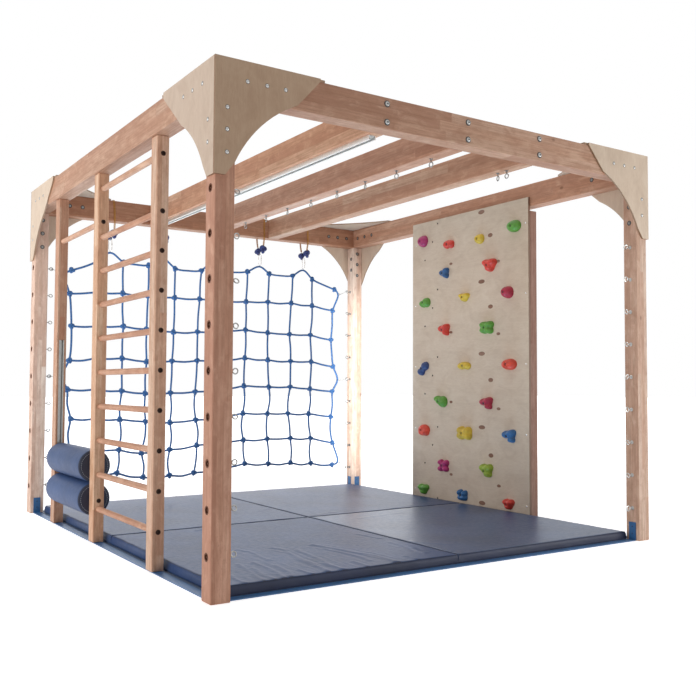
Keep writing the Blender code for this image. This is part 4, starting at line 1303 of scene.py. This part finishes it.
def mat(name, sides, seed, parts, material, grid):
    """One mat: its settled top, sides that bulge a little, and the welt round its upper edge."""
    nx, ny = parts
    rows = doubled([grid[j * (nx + 1):(j + 1) * (nx + 1)] for j in range(ny + 1)])
    columns = doubled([list(column) for column in zip(*rows)])
    nx, ny = 2 * nx, 2 * ny
    shape = bmesh.new()
    top = {}
    for i, column in enumerate(columns):
        for j, place in enumerate(column):
            place.z += 0.0012 * (1.0 - (2.0 * i / nx - 1.0) ** 6) * (1.0 - (2.0 * j / ny - 1.0) ** 6)
            top[i, j] = shape.verts.new(place)
    for i in range(nx):
        for j in range(ny):
            shape.faces.new((top[i, j], top[i + 1, j], top[i + 1, j + 1], top[i, j + 1]))
    border = [(i, 0) for i in range(nx)] + [(nx, j) for j in range(ny)]
    border += [(i, ny) for i in range(nx, 0, -1)] + [(0, j) for j in range(ny, 0, -1)]

    def rim(inset, z):
        return [mat_place(sides, i / nx, j / ny, inset, z, seed) for i, j in border]

    side = ((0.0041, 0.0), (0.0001, 0.004), (0.0001, 0.013), (0.0005, 0.026), (0.0011, 0.038),
            (0.0041, 0.0455))
    rings = [[shape.verts.new(place) for place in rim(inset, z)] for inset, z in side]
    skin(shape, rings + [[top[key] for key in border]])
    shape.faces.new(rings[0][::-1])
    made = piece(f"{name}_pad", shape, material, stands_for=(name,), sharp=70.0)
    # Faces turned to the front take the darker vinyl: painted shade
    second_look(made, NAVY_SHADED_FRONT, lambda face: face.normal.y < -0.6)
    welt = bmesh.new()
    tube(welt, rim(0.0042, 0.0462), 0.0013, 6, closed=True)
    piece(f"{name}_pad_welt", welt, NAVY_DARK)


COVERS = settled_covers()
for name, row in MATS.items():
    mat(name, *row, COVERS[name])


def build_floor():
    """A pale floor that glows white to the camera, with painted shade under the structure: dark bluish
    and without glow there.
    """
    shape = bmesh.new()
    bmesh.ops.create_grid(shape, x_segments=4, y_segments=4, size=60.0,
                          matrix=Matrix.Translation((0.0, 0.0, -0.0004)))
    floor = loose("floor", shape)
    look = Look("floor_pale", Roughness=0.6)
    vector, axes = look.places()
    pale = look.ramp(look.noise(vector, 1.3, 2.0), [(0.3, (0.86, 0.86, 0.87)), (0.7, (0.89, 0.89, 0.9))])
    # Inside the frame's footprint, painted shade: a dark bluish colour and no glow
    over_x = look.plus(look.math("ABSOLUTE", look.plus(axes["x"], -0.0191)), -1.31)
    over_y = look.plus(look.math("ABSOLUTE", axes["y"]), -1.449)
    outside = look.math("GREATER_THAN", look.math("MAXIMUM", over_x, over_y), 0.0)
    look.use(look.mix(outside, (0.1, 0.14, 0.21), pale))
    look.put(look.shader.inputs["Emission Color"], (1.0, 1.0, 1.0, 1.0))
    rays = look.add("LightPath").outputs
    away = look.add("VectorMath", {0: vector}, operation="LENGTH").outputs["Value"]
    white = look.ramp(look.math("DIVIDE", away, 10.0), [(0.28, 0.3), (0.7, 0.8)])
    glow = look.times(look.math("MAXIMUM", rays["Is Camera Ray"], rays["Is Glossy Ray"]), white)
    look.put(look.shader.inputs["Emission Strength"], look.times(look.plus(glow, 0.34), outside))
    floor.data.materials.append(look.material)


def area_light(name, place, aim, size, power, colour=WHITE, spread=180.0):
    data = bpy.data.lights.new(name, "AREA")
    data.shape = "RECTANGLE"
    data.size, data.size_y = size
    data.energy = power
    data.spread = math.radians(spread)
    data.color = colour
    lamp = link(name, data)
    lamp.location = place
    lamp.rotation_euler = (Vector(aim) - Vector(place)).to_track_quat("-Z", "Y").to_euler()


def light_scene():
    """A studio that is white to the camera and dimmer as light, with seven lamps."""
    scene = bpy.context.scene
    scene.view_settings.view_transform = "Standard"
    scene.view_settings.look = "None"
    scene.world = bpy.data.worlds.new("studio")
    scene.world.use_nodes = True
    nodes = scene.world.node_tree.nodes
    links = scene.world.node_tree.links
    back = nodes["Background"]
    path = nodes.new("ShaderNodeLightPath")
    strength = nodes.new("ShaderNodeMapRange")
    strength.inputs["To Min"].default_value = 0.2
    strength.inputs["To Max"].default_value = 1.0
    direct = path.outputs["Is Camera Ray"]
    for ray in ("Is Glossy Ray", "Is Transmission Ray"):
        either = nodes.new("ShaderNodeMath")
        either.operation = "MAXIMUM"
        links.new(direct, either.inputs[0])
        links.new(path.outputs[ray], either.inputs[1])
        direct = either.outputs[0]
    links.new(direct, strength.inputs["Value"])
    links.new(strength.outputs[0], back.inputs["Strength"])
    back.inputs["Color"].default_value = (1.0, 1.0, 1.0, 1.0)
    # Place, aim, size, power, colour, spread
    area_light("key_left", (-8.0, 0.0, 2.0), (0.0, 0.0, 1.0), (4.0, 3.0), 260.0)
    area_light("top_soft", (0.0, 0.0, 6.0), (0.0, 0.0, 0.0), (7.0, 7.0), 110.0)
    area_light("right_front", (3.3, -4.0, 1.3), (1.2, -1.4, 1.2), (1.6, 1.6), 52.0)
    area_light("under_glow", (0.0, 0.0, 0.09), (0.0, 0.0, 2.0), (2.4, 2.7), 24.0, (0.55, 0.78, 1.0), 80.0)
    area_light("post_glow_right", (0.95, 0.95, 0.9), (1.36, 1.48, 0.9), (0.2, 1.5), 3.8, spread=70.0)
    area_light("post_glow_left", (-2.3, 0.9, 1.2), (-1.34, 1.48, 1.1), (0.6, 1.6), 5.0)
    area_light("back_glow", (2.0, 7.0, 3.0), (0.0, 0.0, 1.0), (8.0, 4.0), 120.0)


build_floor()
light_scene()
